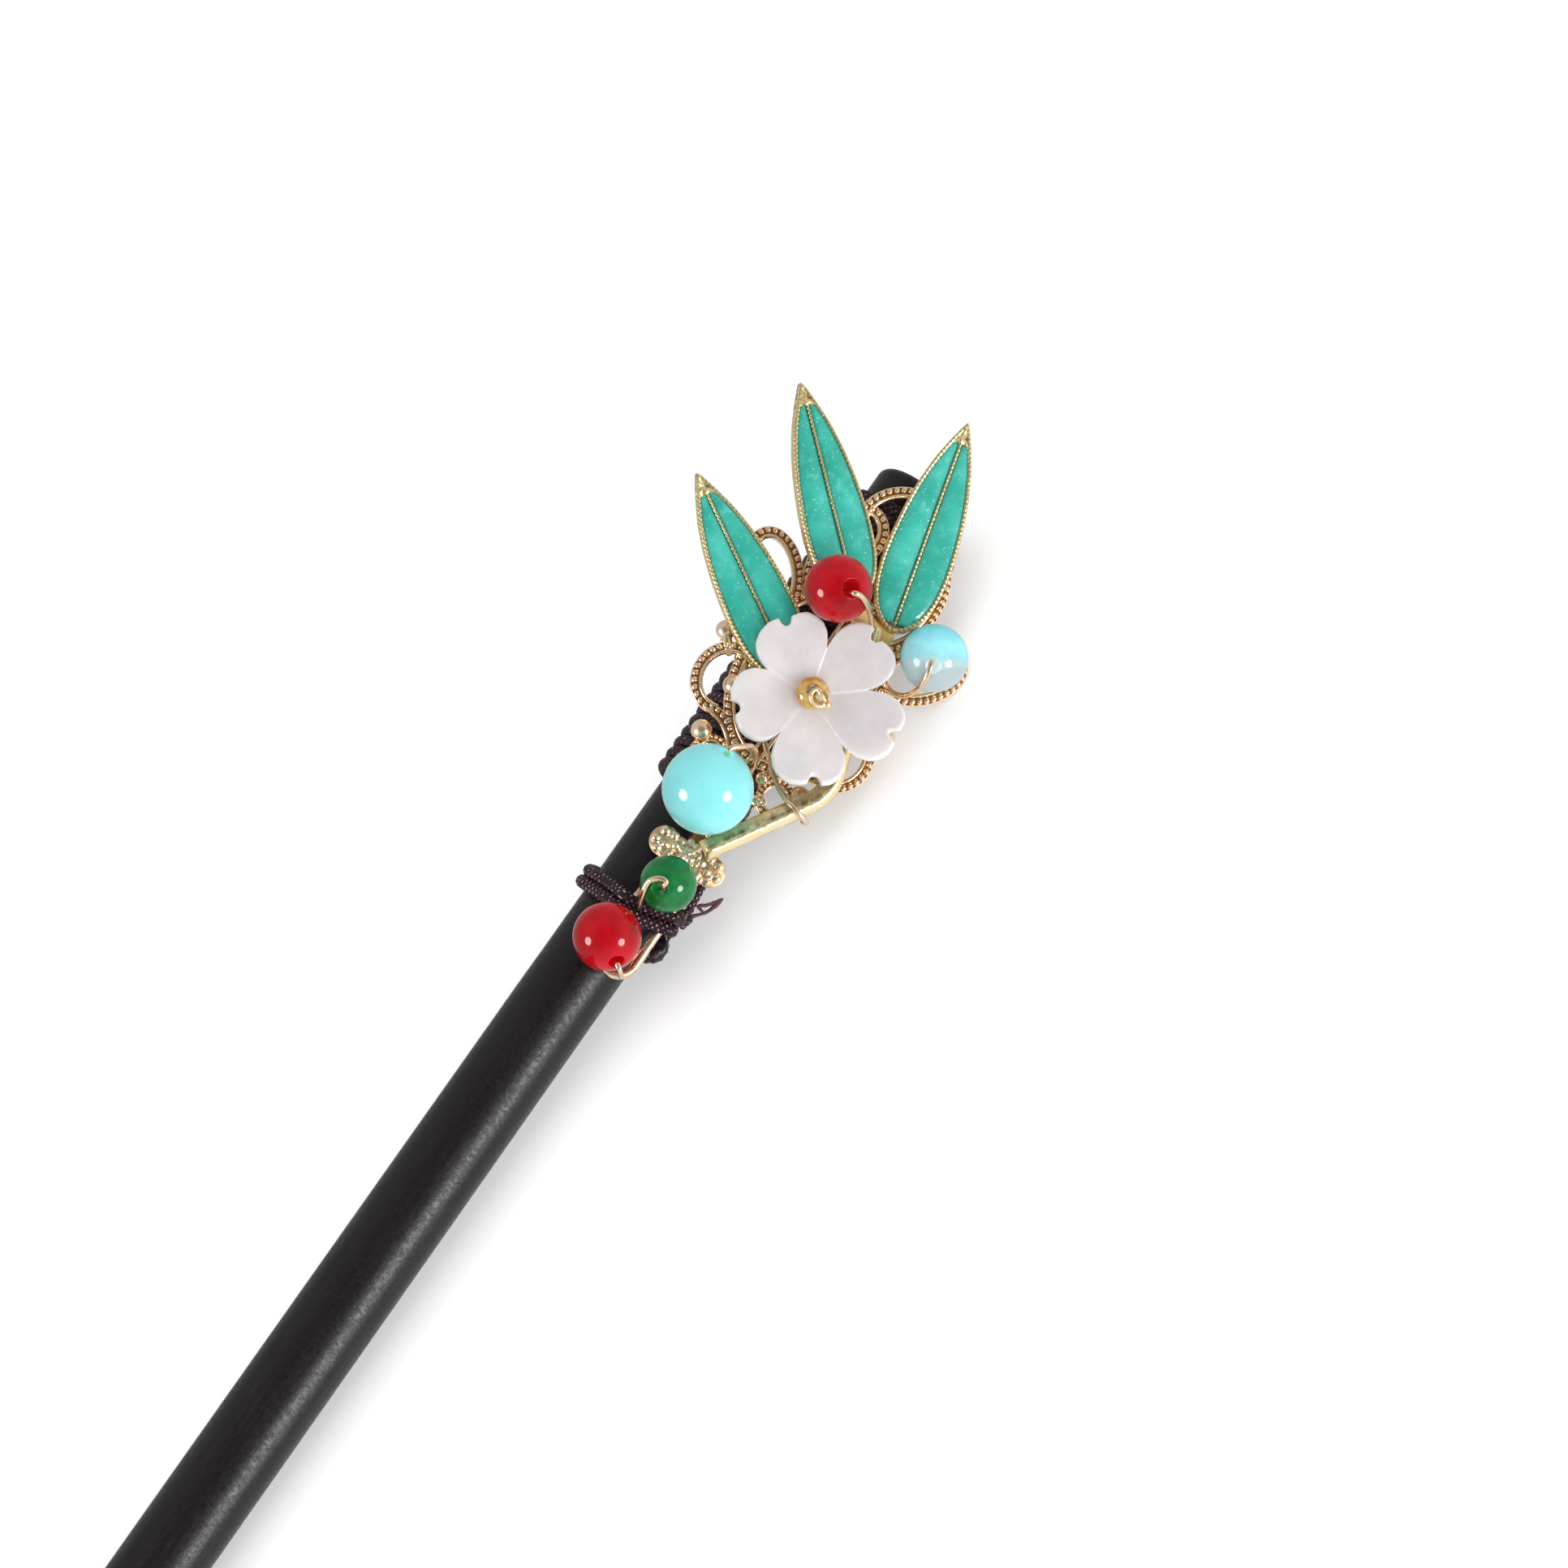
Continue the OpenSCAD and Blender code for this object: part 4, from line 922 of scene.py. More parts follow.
def boss(at, radius, dome, lumps):
    """A cast boss: a low dome with lumps, each (across, along, radius), melted into it."""
    def dome_height(square):
        return dome * np.sqrt(np.maximum(1 - 0.75 * square / radius ** 2, BOSS_EDGE))

    sides, rings = 96, 36
    turn = TURN * np.arange(sides) / sides
    rim = np.full(sides, float(radius))
    for x, y, r in lumps:
        ahead = x * np.cos(turn) + y * np.sin(turn)
        aside = y * np.cos(turn) - x * np.sin(turn)
        reach_out = ahead + np.sqrt(np.maximum(r * r - aside ** 2, 0))
        rim = np.where((np.abs(aside) < r) & (ahead > 0), np.maximum(rim, reach_out), rim)
    share = np.sin(np.linspace(0.03, math.pi / 2, rings))[:, None]
    px = share * (rim * np.cos(turn))[None, :]
    py = share * (rim * np.sin(turn))[None, :]
    total = dome_height(px ** 2 + py ** 2) ** MELT
    cover = np.zeros_like(px)
    for x, y, r in lumps:
        part = np.sqrt(np.maximum(1 - ((px - x) ** 2 + (py - y) ** 2) / r ** 2, 0))
        foot = dome_height(x * x + y * y) - LUMP_SUNK
        total = total + np.where(part > 0, foot + r * part, 0) ** MELT
        cover = np.maximum(cover, part)
    grid = np.stack([px, py, total ** (1 / MELT)], 2)
    wall = np.stack([px[-1:], py[-1:], np.full((1, sides), BOSS_FOOT)], 2)
    # painted shade between the lumps and on the foot
    hollow = np.vstack([np.clip(0.5 - 1.4 * cover, 0, 1), np.full((1, sides), 0.6)])
    points, faces, groove = skin(np.concatenate([grid, wall]), hollow, flip=True)
    return points + (*at, 0), faces, groove


# across, along and radius of the lumps of a rosette and of the middle between them
ROSETTE_LUMPS = ((0.45, 0.8, 0.5), (0.85, -0.2, 0.42), (0.3, -0.9, 0.37), (-0.35, -1.12, 0.36),
                 (-0.88, -0.6, 0.38), (-1.0, 0.2, 0.4), (-0.45, 0.9, 0.42), (-0.15, -0.25, 0.36),
                 (0.3, -0.35, 0.27))
MIDDLE_LUMPS = ((-1.14, 0.86, 0.42), (0.79, 0.47, 0.38), (1.0, -0.27, 0.34), (-0.36, -0.4, 0.42),
                (-0.32, 0.46, 0.3), (-0.5, 0.09, 0.27), (-0.09, 0.16, 0.28), (0.15, 0.58, 0.3),
                (0.35, -0.15, 0.36), (0.2, -0.85, 0.36), (-0.85, 0.3, 0.32), (0.3, 1.15, 0.42),
                (-0.4, 1.25, 0.38))
ROSETTES_AT = 0.755
ROSETTE_ACROSS = 2.35
# radius of each boss, and height of its dome
ROSETTE_SIZE = (1.4, 0.62)
MIDDLE_SIZE = (1.3, 0.6)


def rosettes():
    along = on_base(0, ROSETTES_AT)[1]
    one = boss((ROSETTE_ACROSS, along), *ROSETTE_SIZE, ROSETTE_LUMPS)
    middle = boss((0, along), *MIDDLE_SIZE, MIDDLE_LUMPS)
    return [moved(s, base_placed) for s in (one, mirrored(one), middle)]


def base_side():
    """Scrolls, round ends and granules of the base's right side."""
    shapes = []
    for scroll in SIDE_SCROLLS:
        plan, closed = scroll_plan(scroll)
        shapes.extend(scroll_shapes(plan, closed, SMALL_RING if closed else 1.0))
    for across, along, r, lift in ROUND_ENDS:
        shapes.append(ball((*on_base(across, along), lift), r, 14, 24, floor=-lift))
    x, y = on_base(*UPPER_END)
    shapes.extend(ball((x + dx, y + dy, GRANULE_AT), r, 8, 12) for dx, dy, r in GRANULES)
    link = np.array([on_base(0.65, 0.425), (x, y)])
    shapes.append(plan_tube(link, LINK_R, LINK_R, 8, wide=1.2))
    return shapes


def base_tail():
    """The tail is a plain rounded band."""
    x = TAIL_HALF
    y = -BASE_TOP_AT - (BASE_LENGTH - TAIL_HALF - TAIL_WIDTH / 2)
    top = on_base(0, 0.77)[1]
    bend = [(x * math.cos(a), y - x * math.sin(a)) for a in np.linspace(0, math.pi, 31)]
    plan, _ = resampled([(x, top), *bend, (-x, top)], 0.2)
    beaten = ripple(plan[:, :1] * 1.6, plan[:, 1:] * 1.6, 6) * np.full((1, 18), BEATEN)
    # painted shade over the whole band, deeper in its dents
    return plan_tube(plan, BAND_R, BAND_R, 18, wide=1.02, form=1 + beaten,
                     groove=np.clip(0.25 - 3 * beaten, 0, 0.8))


def filigree():
    side = base_side()
    shapes = side + [mirrored(s) for s in side]
    for scroll in MIDDLE_SCROLLS:
        shapes.extend(scroll_shapes(*scroll_plan(scroll)))
    shapes.append(base_tail())
    spine, _ = resampled([on_base(0, 0.23), on_base(0, 0.765)], 0.5)
    for off in (-SPINE_RAIL_OFF, SPINE_RAIL_OFF):
        rail = offset_plan(spine[:-6], False, off)
        shapes.append(plan_tube(rail, RAIL_AT, RAIL_R, 10, high=SPINE_RAIL_HIGH))
    # the spine strip below the rails is painted in full shade
    shapes.append(plan_tube(spine, SPINE_AT, SPINE_R, 8, wide=SPINE_WIDE, groove=1.0))
    return [moved(s, base_placed) for s in shapes]


piece("openwork_base", ["filigree_base"], "rose_gilt", ROSE_GILT, filigree(), 50)
piece("openwork_rosettes", ["filigree_base"], "rose_gilt", CAST_GILT, rosettes(), 60)


# Leaves
LEAF_SECTIONS = ((0, 0.03), (0.04, 0.15), (0.1, 0.32), (0.2, 0.56), (0.32, 0.76), (0.45, 0.9),
                 (0.58, 0.98), (0.7, 1), (0.8, 0.95), (0.88, 0.82), (0.94, 0.62), (0.98, 0.34),
                 (1, 0.1))
SECTION_X = LEAF_LENGTH * (1 - np.array([s[0] for s in LEAF_SECTIONS]))[::-1]
SECTION_HALF = np.array([s[1] for s in LEAF_SECTIONS])[::-1] * LEAF_WIDTH / 2
# place and direction of the base, and roll
LEFT_LEAF = ((0.9, -22.5), math.radians(149.5), 0.0)
MIDDLE_LEAF = ((1.3, -13.75), math.radians(138.2), MIDDLE_ROLL)
RIGHT_LEAF = ((5.45, -13.85), math.radians(104.4), 0.0)
MILL_PITCH = 0.42
MILL_DEPTH = 0.22
EDGE_STEP = 0.1
WALL_LOW = TRAY_FLOOR - 0.05
WALL_INSET, WALL_WIDTH, WALL_TOP = 0.2, 0.38, 0.84
RIB_START, RIB_WIDTH, RIB_TOP = 0.7, 0.24, 0.95
# radius and height of the milled wires on the walls and on the midrib
RIM_WIRE = (0.2, 0.86)
RIB_WIRE = (0.14, 0.99)
# a field of enamel: its start, how far it keeps off the midrib and the leaf's edge, how
# wide its soft edge is, and its rise, swell and ripples
FIELD_START, FIELD_INNER, FIELD_OUTER = 0.75, 0.1, 0.3
FIELD_SOFT, FIELD_RISE, FIELD_SWELL, FIELD_RIPPLE = 0.32, 0.2, 0.2, 0.03
# across and up of the tip's section, in shares of its half width and in millimetres
TIP_SECTION = ((-1, 0), (-1, 0.66), (-0.5, 0.94), (0, 1.08), (0.5, 0.9), (1, 0.6), (1, 0))


def leaf_placed(leaf):
    at, turn, roll = leaf

    def change(points):
        p = points.copy()
        if roll:
            hinge = (LEAF_WIDTH / 2, 0)
            p[:, 1:] = turned(p[:, 1:] + hinge, roll) - hinge
        return np.column_stack([turned(p[:, :2], turn) + at, p[:, 2] + LEAF_Z])
    return change


def leaf_half(x):
    """Half of a leaf's width at x from its base, smoothed between the sections."""
    x = np.asarray(x, float)
    plain = np.interp(x, SECTION_X, SECTION_HALF)
    soft = sum(np.interp(x + d, SECTION_X, SECTION_HALF) for d in (-0.5, -0.25, 0.25, 0.5)) / 4
    inner = np.clip(np.minimum(x - 0.6, LEAF_LENGTH - 0.6 - x) / 0.6, 0, 1)
    return plain + (soft - plain) * inner


def leaf_edge(inset):
    """The leaf's outline drawn in by inset, anticlockwise from its base's right side."""
    x = np.concatenate([np.linspace(0, 1.2, 16)[:-1],
                        np.linspace(1.2, LEAF_LENGTH, int(LEAF_LENGTH / EDGE_STEP))])
    half = leaf_half(x)
    slope = np.gradient(half, x)
    lean = 1 / np.sqrt(1 + slope ** 2)
    right = np.stack([x + slope * lean * inset, -(half - lean * inset)], 1)
    right = right[(right[:, 1] < -0.02) & (right[:, 0] > inset * 0.4)
                  & (right[:, 0] < LEAF_LENGTH - inset * 0.5)]
    return np.vstack([right, (right * (1, -1))[::-1]])


def milled(route, closed, r, height):
    """A thin milled wire: close notches along it, a little slanted, with painted shade in the
    notches.
    """
    even, along = resampled(route, MILL_PITCH / 5, closed)
    sides = 8
    slant = np.arange(sides)[None, :] / sides * 0.8
    notch = 1 - np.abs(np.sin(math.pi * (along[:, None] / MILL_PITCH + slant)))
    return plan_tube(even, height, r, sides, closed, form=1 - MILL_DEPTH * notch ** 2,
                     groove=np.clip(notch * 1.3 - 0.4, 0, 1))


def leaf_tip():
    x = np.linspace(LEAF_LENGTH - LEAF_TIP - 0.15, LEAF_LENGTH, 24)[:, None]
    half = np.maximum(leaf_half(x), 0.1)
    across, up = resampled(TIP_SECTION, 0.12)[0].T
    y = half * across
    beaten = ripple(x * 2.8, y * 2.8, 3)
    z = up * (1.12 - 0.3 * ((x - x[0]) / (x[-1] - x[0])) ** 2)
    z = z + beaten * 0.2 * np.clip(up / 0.5 - 0.4, 0, 1)
    grid = np.stack([np.broadcast_to(x, y.shape), y, z], 2)
    # painted shade in the dents of the beaten tip
    return skin(grid, np.clip(-2.2 * beaten - 0.1, 0, 0.75))


def leaf_metal():
    """Floor, walls, milled rim, milled midrib and plain tip of one leaf."""
    outline = leaf_edge(0)
    wall = leaf_edge(WALL_INSET)
    rib, _ = resampled([(RIB_START, 0), (LEAF_LENGTH - LEAF_TIP, 0)], 0.3)
    return [skin(np.stack([flat(outline, 0), flat(outline, TRAY_FLOOR)])),
            wall_along(wall, True, WALL_LOW, WALL_TOP, WALL_WIDTH), milled(wall, True, *RIM_WIRE),
            wall_along(rib, False, WALL_LOW, RIB_TOP, RIB_WIDTH), milled(rib, False, *RIB_WIRE),
            leaf_tip()]


def leaf_field(side, seed):
    """One field of enamel: a soft cushion between the rim and the midrib."""
    start, end = FIELD_START, LEAF_LENGTH - LEAF_TIP - 0.05
    rows, cols = 150, 17
    x = start + (end - start) * (1 - np.cos(np.linspace(0, math.pi, rows)))[:, None] / 2
    v = (1 - np.cos(np.linspace(0, math.pi, cols)))[None, :] / 2
    wide = np.maximum(leaf_half(x) - FIELD_OUTER, FIELD_INNER + 0.02) - FIELD_INNER
    y = FIELD_INNER + wide * v
    edge = np.minimum(np.minimum(v, 1 - v) * wide, np.minimum(x - start, end - x) * 0.7)
    rise = 1 - np.exp(-edge / FIELD_SOFT)
    swell = np.sin(math.pi * v) ** 0.8 * np.clip(wide / 2.2, 0, 1)
    z = (WALL_TOP + FIELD_RISE * rise + FIELD_SWELL * swell
         + ripple(x, y, seed) * FIELD_RIPPLE * rise)
    top = np.stack([np.broadcast_to(x, y.shape), y * side, z], 2)
    low = top.copy()
    low[:, :, 2] = TRAY_FLOOR + 0.05
    # painted shade where the enamel dips to the walls, fading over a wider band
    hollow = np.clip(0.75 - edge / 0.28, 0, 1) + 0.26 * np.exp(-edge / 0.7)
    # the sheet, its underside and the walls round them
    n = rows * cols
    sheet = ring_faces(rows, cols, round_rows=False)
    faces = sheet + [tuple(n + i for i in face[::-1]) for face in sheet]
    index = np.arange(n).reshape(rows, cols)
    ring = np.concatenate([index[:, 0], index[-1, 1:], index[-2::-1, -1], index[0, -2:0:-1]])
    for one, two in zip(ring.tolist(), np.roll(ring, -1).tolist()):
        faces.append((two, one, n + one, n + two))
    if side < 0:
        faces = [face[::-1] for face in faces]
    return shape(np.stack([top, low]), faces, np.stack([hollow, np.ones_like(hollow)]))


def tucked(points):
    """Points inside the right leaf's outline are pressed into its floor."""
    at, turn, _ = RIGHT_LEAF
    floor_top = LEAF_Z + TRAY_FLOOR - 0.03
    along, across = turned(points[:, :2] - at, -turn).T
    inside = (along > 0.2) & (along < LEAF_LENGTH) & (
        np.abs(across) < leaf_half(np.clip(along, 0, LEAF_LENGTH)) - 0.15)
    p = points.copy()
    pressed = np.minimum(p[inside, 2], LEAF_Z + 0.12 + 0.2 * (p[inside, 2] - LEAF_Z))
    p[inside, 2] = np.minimum(pressed, floor_top)
    return p


STEM_START, STEM_UNDER, STEM_BEFORE = (3.9, -14.6), (5.8, -20), (8.1, -26.2)
STEM_CORNER, STEM_AFTER, STEM_END = (9.145, -29.016), (8.4, -30.3), (3.15, -39.35)
STEM_ABOVE_BEND = (7.2, -23.8)
STEM_BELOW_BEND = ((6.6, -33.4), (4.9, -36.35))
STEM_ROUNDING = 2.1
STEM_PAST_END = 0.4
# across and up of the stem's section, and how much shade is painted at each point: painted dark
# reflection along the ridge, painted shade at the foot of each side, and a little over one facet
STEM_SECTION = (
    (-0.5, 0, 0.35), (-0.5, 0.4, 0.2), (-0.46, 0.54, 0.02), (-0.38, 0.74, 0), (-0.28, 0.91, 0),
    (-0.18, 1.0, 0.02), (-0.09, 0.99, 0.3), (0.0, 0.94, 0.6), (0.1, 0.87, 0.45),
    (0.2, 0.78, 0.22), (0.32, 0.67, 0.14), (0.44, 0.55, 0.14), (0.5, 0.42, 0.3), (0.5, 0, 0.6))


def stem():
    corner, end = np.array(STEM_CORNER), np.array(STEM_END)
    before = unit(np.subtract(STEM_BEFORE, STEM_UNDER))
    after = unit(end - STEM_AFTER)
    u = np.linspace(0, 1, 9)[:, None]
    bend = ((1 - u) ** 2 * (corner - STEM_ROUNDING * before) + 2 * u * (1 - u) * corner
            + u ** 2 * (corner + STEM_ROUNDING * after))
    route = np.vstack([STEM_START, STEM_UNDER, STEM_ABOVE_BEND, bend, STEM_BELOW_BEND,
                       end + STEM_PAST_END * after])
    route, along = resampled(spline(route, 8), 0.13)
    grid = np.zeros((len(route), len(STEM_SECTION), 3))
    for k, (across, up, _) in enumerate(STEM_SECTION):
        plan = offset_plan(route, False, across * STEM_WIDTH)
        rough = 0.055 if -0.3 < across < 0.15 else 0.02
        beat = ripple(plan[:, 0] * 1.9, plan[:, 1] * 1.9, 20 + k % 3) * rough
        grid[:, k, :2] = plan
        grid[:, k, 2] = up * STEM_HEIGHT + (beat if 0.1 < up else 0)
    taper = np.clip((along[-1] - along) / 0.5, 0, 1) ** 0.5
    grid[:, :, 2] = STEM_Z + grid[:, :, 2] * (0.55 + 0.45 * taper[:, None])
    beaten = ripple(grid[:, :, 0] * 2.6, grid[:, :, 1] * 2.6, 40)
    # the painted shade is broken up by the beaten surface
    dark = np.array([row[2] for row in STEM_SECTION])
    return skin(grid, np.clip(dark * (1 + 1.6 * beaten), 0, 1), flip=True)


def leaf_foot(leaf):
    """Where a leaf's twig starts, a little before the leaf's base."""
    at, turn, _ = leaf
    return np.array(at) - 0.6 * np.array([math.cos(turn), math.sin(turn)])


def twigs():
    shapes = []
    for a, b in ((leaf_foot(RIGHT_LEAF), STEM_START), (leaf_foot(MIDDLE_LEAF), STEM_START),
                 (leaf_foot(LEFT_LEAF), STEM_UNDER), (STEM_START, STEM_UNDER)):
        plan, _ = resampled([a, b], 0.4)
        shapes.append(plan_tube(plan, LEAF_Z + TWIG_HEIGHT / 2, TWIG_HEIGHT / 2, 14, wide=2.4))
    return shapes


def leaf_frame():
    metal = leaf_metal()
    shapes = [moved(s, leaf_placed(leaf)) for leaf in (LEFT_LEAF, RIGHT_LEAF) for s in metal]
    return shapes + [moved(moved(s, leaf_placed(MIDDLE_LEAF)), tucked) for s in metal]


piece("gilt_leaves", ["leaf_frame"], "gilt", GILT, leaf_frame(), 45)
piece("gilt_feet", ["leaf_frame"], "gilt", FOOT_GILT, twigs(), 45)
piece("gilt_stem", ["leaf_frame"], "gilt", STEM_GILT, [stem()], 60)

FIELDS = (("left_lower", LEFT_LEAF, 1), ("left_upper", LEFT_LEAF, -1),
          ("middle_lower", MIDDLE_LEAF, 1), ("middle_upper", MIDDLE_LEAF, -1),
          ("right_lower", RIGHT_LEAF, -1), ("right_upper", RIGHT_LEAF, 1))
for seed, (name, leaf, side) in enumerate(FIELDS, 30):
    field = moved(leaf_field(side, seed), leaf_placed(leaf))
    if leaf is MIDDLE_LEAF:
        field = moved(field, tucked)
    piece("field_" + name, ["enamel_" + name], "enamel", ENAMEL, [field], 60)


# Blossom
BLOSSOM_AT = (2.85, -23.3)
BLOSSOM_Z = STEM_TOP + 0.2
SEED_Z = BLOSSOM_Z + PETAL_THICKNESS + SEAT_GAP
# direction, reach, how far the notch is turned from the petal's middle, and its depth
PETALS = ((72, 0.97, 5, 0.9), (10, 1, -1, 0.9), (-56, 0.95, 2, 0.9), (-132, 0.83, -3, 0.75),
          (-221, 0.87, 4, 0.9))
PETAL_EDGE = ((0, 0.97), (0.07, 0.98), (0.2, 0.995), (0.36, 1), (0.55, 0.965), (0.72, 0.9),
              (0.87, 0.79), (0.97, 0.64), (1.0, 0.6))
NOTCH_HALF = 0.62
# relief of a petal: its crown, overlap, seams, bevel, lip and ripples
CROWN, OVERLAP, SEAM_DEPTH, BEVEL_DEPTH, LIP, PETAL_RIPPLE = 0.12, 0.09, 0.05, 0.34, 0.03, 0.04
# how far the petals are cut below their full thickness, and the least they keep
PETAL_SUNK, THINNEST = 0.24, 0.25
# shares of the way from a petal's middle to its seam, and from the hole to the edge
SHARES = np.concatenate([np.linspace(0, 0.36, 19), np.linspace(0.4, 0.9, 12), [0.94, 0.965, 0.985]])
RINGS = np.concatenate([np.linspace(0, 0.9, 22), [0.93, 0.955, 0.975, 0.99, 1.0]])


def dish(r):
    """Height of the shallow dish that the petals are cut from."""
    return np.interp(r, [0, 0.28 * PETAL_REACH, 0.7 * PETAL_REACH, PETAL_REACH + 1],
                     [0, 0, 0.5 * PETAL_RISE, PETAL_RISE])


def petal_rims():
    """Direction and reach of the blossom's edge, and how near each point is to a seam:
    -1 and 1 at a petal's two seams, and 0 in its middle."""
    rows = []
    for i, (middle, size, notch_turn, notch_depth) in enumerate(PETALS):
        before = PETALS[i - 1][0] + (0 if i else 360)
        after = PETALS[(i + 1) % 5][0] - (360 if i == 4 else 0)
        full = PETAL_REACH * size
        for side, neighbour in ((-1, before), (1, after)):
            half = (neighbour - middle) / 2
            s = SHARES[::-1] if side < 0 else SHARES[1:]
            plain = full * np.interp(s, *np.transpose(PETAL_EDGE))
            aside = np.radians(half * s - notch_turn)
            room = np.maximum(1 - (full * np.sin(aside) / NOTCH_HALF) ** 2, 0)
            bitten = full * np.cos(aside) - notch_depth * np.sqrt(room)
            reach = np.where(room > 0, np.minimum(plain, bitten), plain)
            rows.append(np.stack([np.radians(middle + half * s), reach, side * s]))
    return np.hstack(rows)


def blossom():
    turns, reaches, offs = petal_rims()
    r = BLOSSOM_HOLE_R + (reaches - BLOSSOM_HOLE_R) * RINGS[:, None]
    near_seam = (1 - np.abs(offs)) * r * math.radians(34)
    from_rim = reaches - r
    fade = np.clip((r - BLOSSOM_HOLE_R) / 2.2, 0, 1)
    crown = CROWN * np.sin((1 - np.abs(offs)) * math.pi / 2) * fade
    overlap = OVERLAP * (offs * 0.5 + 0.5) * fade
    seams = SEAM_DEPTH * np.exp(-(near_seam / 0.09) ** 2) * fade
    bevel = BEVEL_DEPTH * np.exp(-from_rim / 0.09)
    lip = LIP * np.exp(-((from_rim - 0.4) / 0.25) ** 2)
    x, y = r * np.cos(turns), r * np.sin(turns)
    top = (dish(r) + PETAL_THICKNESS - PETAL_SUNK + crown + overlap - seams - bevel + lip
           + ripple(x, y, 5) * PETAL_RIPPLE)
    low = dish(r) + 0.12 * np.exp(-from_rim / 0.2)
    top = np.maximum(top, low + THINNEST)
    grid = np.concatenate([np.stack([x, y, top], 2), np.stack([x, y, low], 2)[::-1]])
    # painted highlights along the rims, and lighter lines along the seams
    rim_highlight_and_seams = np.clip(np.exp(-from_rim / 0.1) + 0.55 * np.exp(-(near_seam / 0.1) ** 2) * fade, 0, 1)
    return skin(grid + (*BLOSSOM_AT, BLOSSOM_Z), np.concatenate([rim_highlight_and_seams, rim_highlight_and_seams[::-1]]), closed=True)


# rounding of a hole's mouth, and the seed's width and height in shares of a round bead's
MOUTH_R = 0.16
SEED_WIDER, SEED_FLATTER = 1.12, 0.72


def bead(at, r, lean, turn, hole_r=BEAD_HOLE_R, stretch=1.0, sides=64):
    """A drilled bead with rounded mouths to its hole."""
    mouth = math.asin(hole_r / r)
    edge = r * math.cos(mouth) * stretch
    a = np.linspace(mouth + MOUTH_R / r, math.pi - mouth - MOUTH_R / r, 40)
    outside = np.stack([r * np.sin(a), r * np.cos(a) * stretch], 1)
    a = np.arange(1, 5) / 5 * math.pi / 2
    lip = np.stack([hole_r + MOUTH_R * (1 - np.sin(a)),
                    edge - 0.02 - MOUTH_R * (1 - np.cos(a))], 1)
    bore = (hole_r, edge - MOUTH_R - 0.1)
    profile = np.vstack([outside, lip * (1, -1), np.multiply(bore, (1, -1)), bore, lip[::-1]])
    p, faces, _ = lathe(profile[::-1], sides)
    # the walls of the hole, which the glass materials paint with a glow
    bored = np.clip(1 - (np.hypot(p[:, 0], p[:, 1]) - hole_r) / 0.1, 0, 1)
    p[:, [2, 0]] = turned(p[:, [2, 0]], lean)
    p[:, :2] = turned(p[:, :2], turn)
    return p + at, faces, bored


piece("pearl_blossom", ["blossom"], "pearl", PEARL, [blossom()], 55)
piece("amber_seed", ["blossom_seed"], "amber", AMBER, [
    bead((*BLOSSOM_AT, SEED_Z + SEED_HEIGHT / 2), SEED_R * SEED_WIDER, 0, 0, BLOSSOM_HOLE_R,
         SEED_FLATTER, 48)])


# Beads and wires
# place, radius, lean and direction of the hole, points that the wire passes over, in
# shares of the bead's radius, and where the wire lands
BEADS = {
    "turquoise": (TURQUOISE_AT, 4.0, 53, 97,
                  ((0.1, 1.1, 0.52), (0.27, 1.3, 0.12), (0.42, 1.33, -0.35)),
                  (2.35, -30.75, ON_BASE_Z)),
    "red_upper": ((-0.54, -14.47, LEAF_TOP + 3.75), 3.0, 19.5, -2,
                  ((0.7, -0.04, 0.9), (1.0, -0.04, 0.45), (1.2, -0.04, -0.15)),
                  (3.95, -15.05, STEM_TOP + SEAT_GAP + WIRE_R)),
    "aqua": ((9.8, -14.15, BASE_TOP + SEAT_GAP + 3.0), 3.0, 27.5, -76,
             ((0.14, -0.9, 0.78), (0.12, -1.14, 0.2), (-0.1, -1.36, -0.4)),
             (7.9, -18.4, ON_BASE_Z)),
    "green": ((2.1, -44.3, BASE_TOP + 3.0), 2.5, 30.5, -107,
              ((-0.085, -0.207, 1.07), (-0.274, -0.207, 1.09), (-0.468, -0.329, 0.99),
               (-0.594, -0.533, 0.81), (-0.526, -0.906, 0.44)),
              (1.25, -47.2, BINDING_OVER + CORD_R + SEAT_GAP + WIRE_R)),
    "red_lower": ((0.4, -51.2, BASE_TOP + SEAT_GAP + 3.0), 3.0, 60, -40,
                  ((0.9, -0.72, 0.42), (0.98, -0.7, -0.05), (0.98, -0.62, -0.5)),
                  (3.3, -52.7, ON_BASE_Z))
}
AQUA = make_aqua(place(BEADS["aqua"][0])[0], unit(way((-0.5, 0.84, 0.18))),
                 BEADS["aqua"][1] * MM)
# slot and material, where the wire leaves its hole off the middle, how far it first runs
# straight on, and how much wider than the others the hole is
BEAD_DETAILS = {
    "turquoise": ("turquoise_glass", TURQUOISE, (0, 0, 0), 0.35, 0),
    "red_upper": ("red_glass", RED, (0.3, -0.3, 0), 0.35, 0.12),
    "aqua": ("aqua_glass", AQUA, (-0.3, 0.1, 0), 0.35, 0),
    "green": ("green_stone", GREEN, (0.17, 0.36, 0.09), 0, 0),
    "red_lower": ("red_glass", RED, (0, 0, 0), 0.35, 0)
}


def bead_wire(at, r, lean, turn, over, landing, aside, rise):
    at = np.array(at)
    out = np.array([math.sin(lean) * math.cos(turn), math.sin(lean) * math.sin(turn),
                    math.cos(lean)])
    points = [at - out * 0.8 * r, at + out * 0.8 * r + aside, at + out * (r + rise) + aside,
              *(at + np.array(p) * r for p in over), landing]
    return tube(spline(points, 10), WIRE_R, 14)


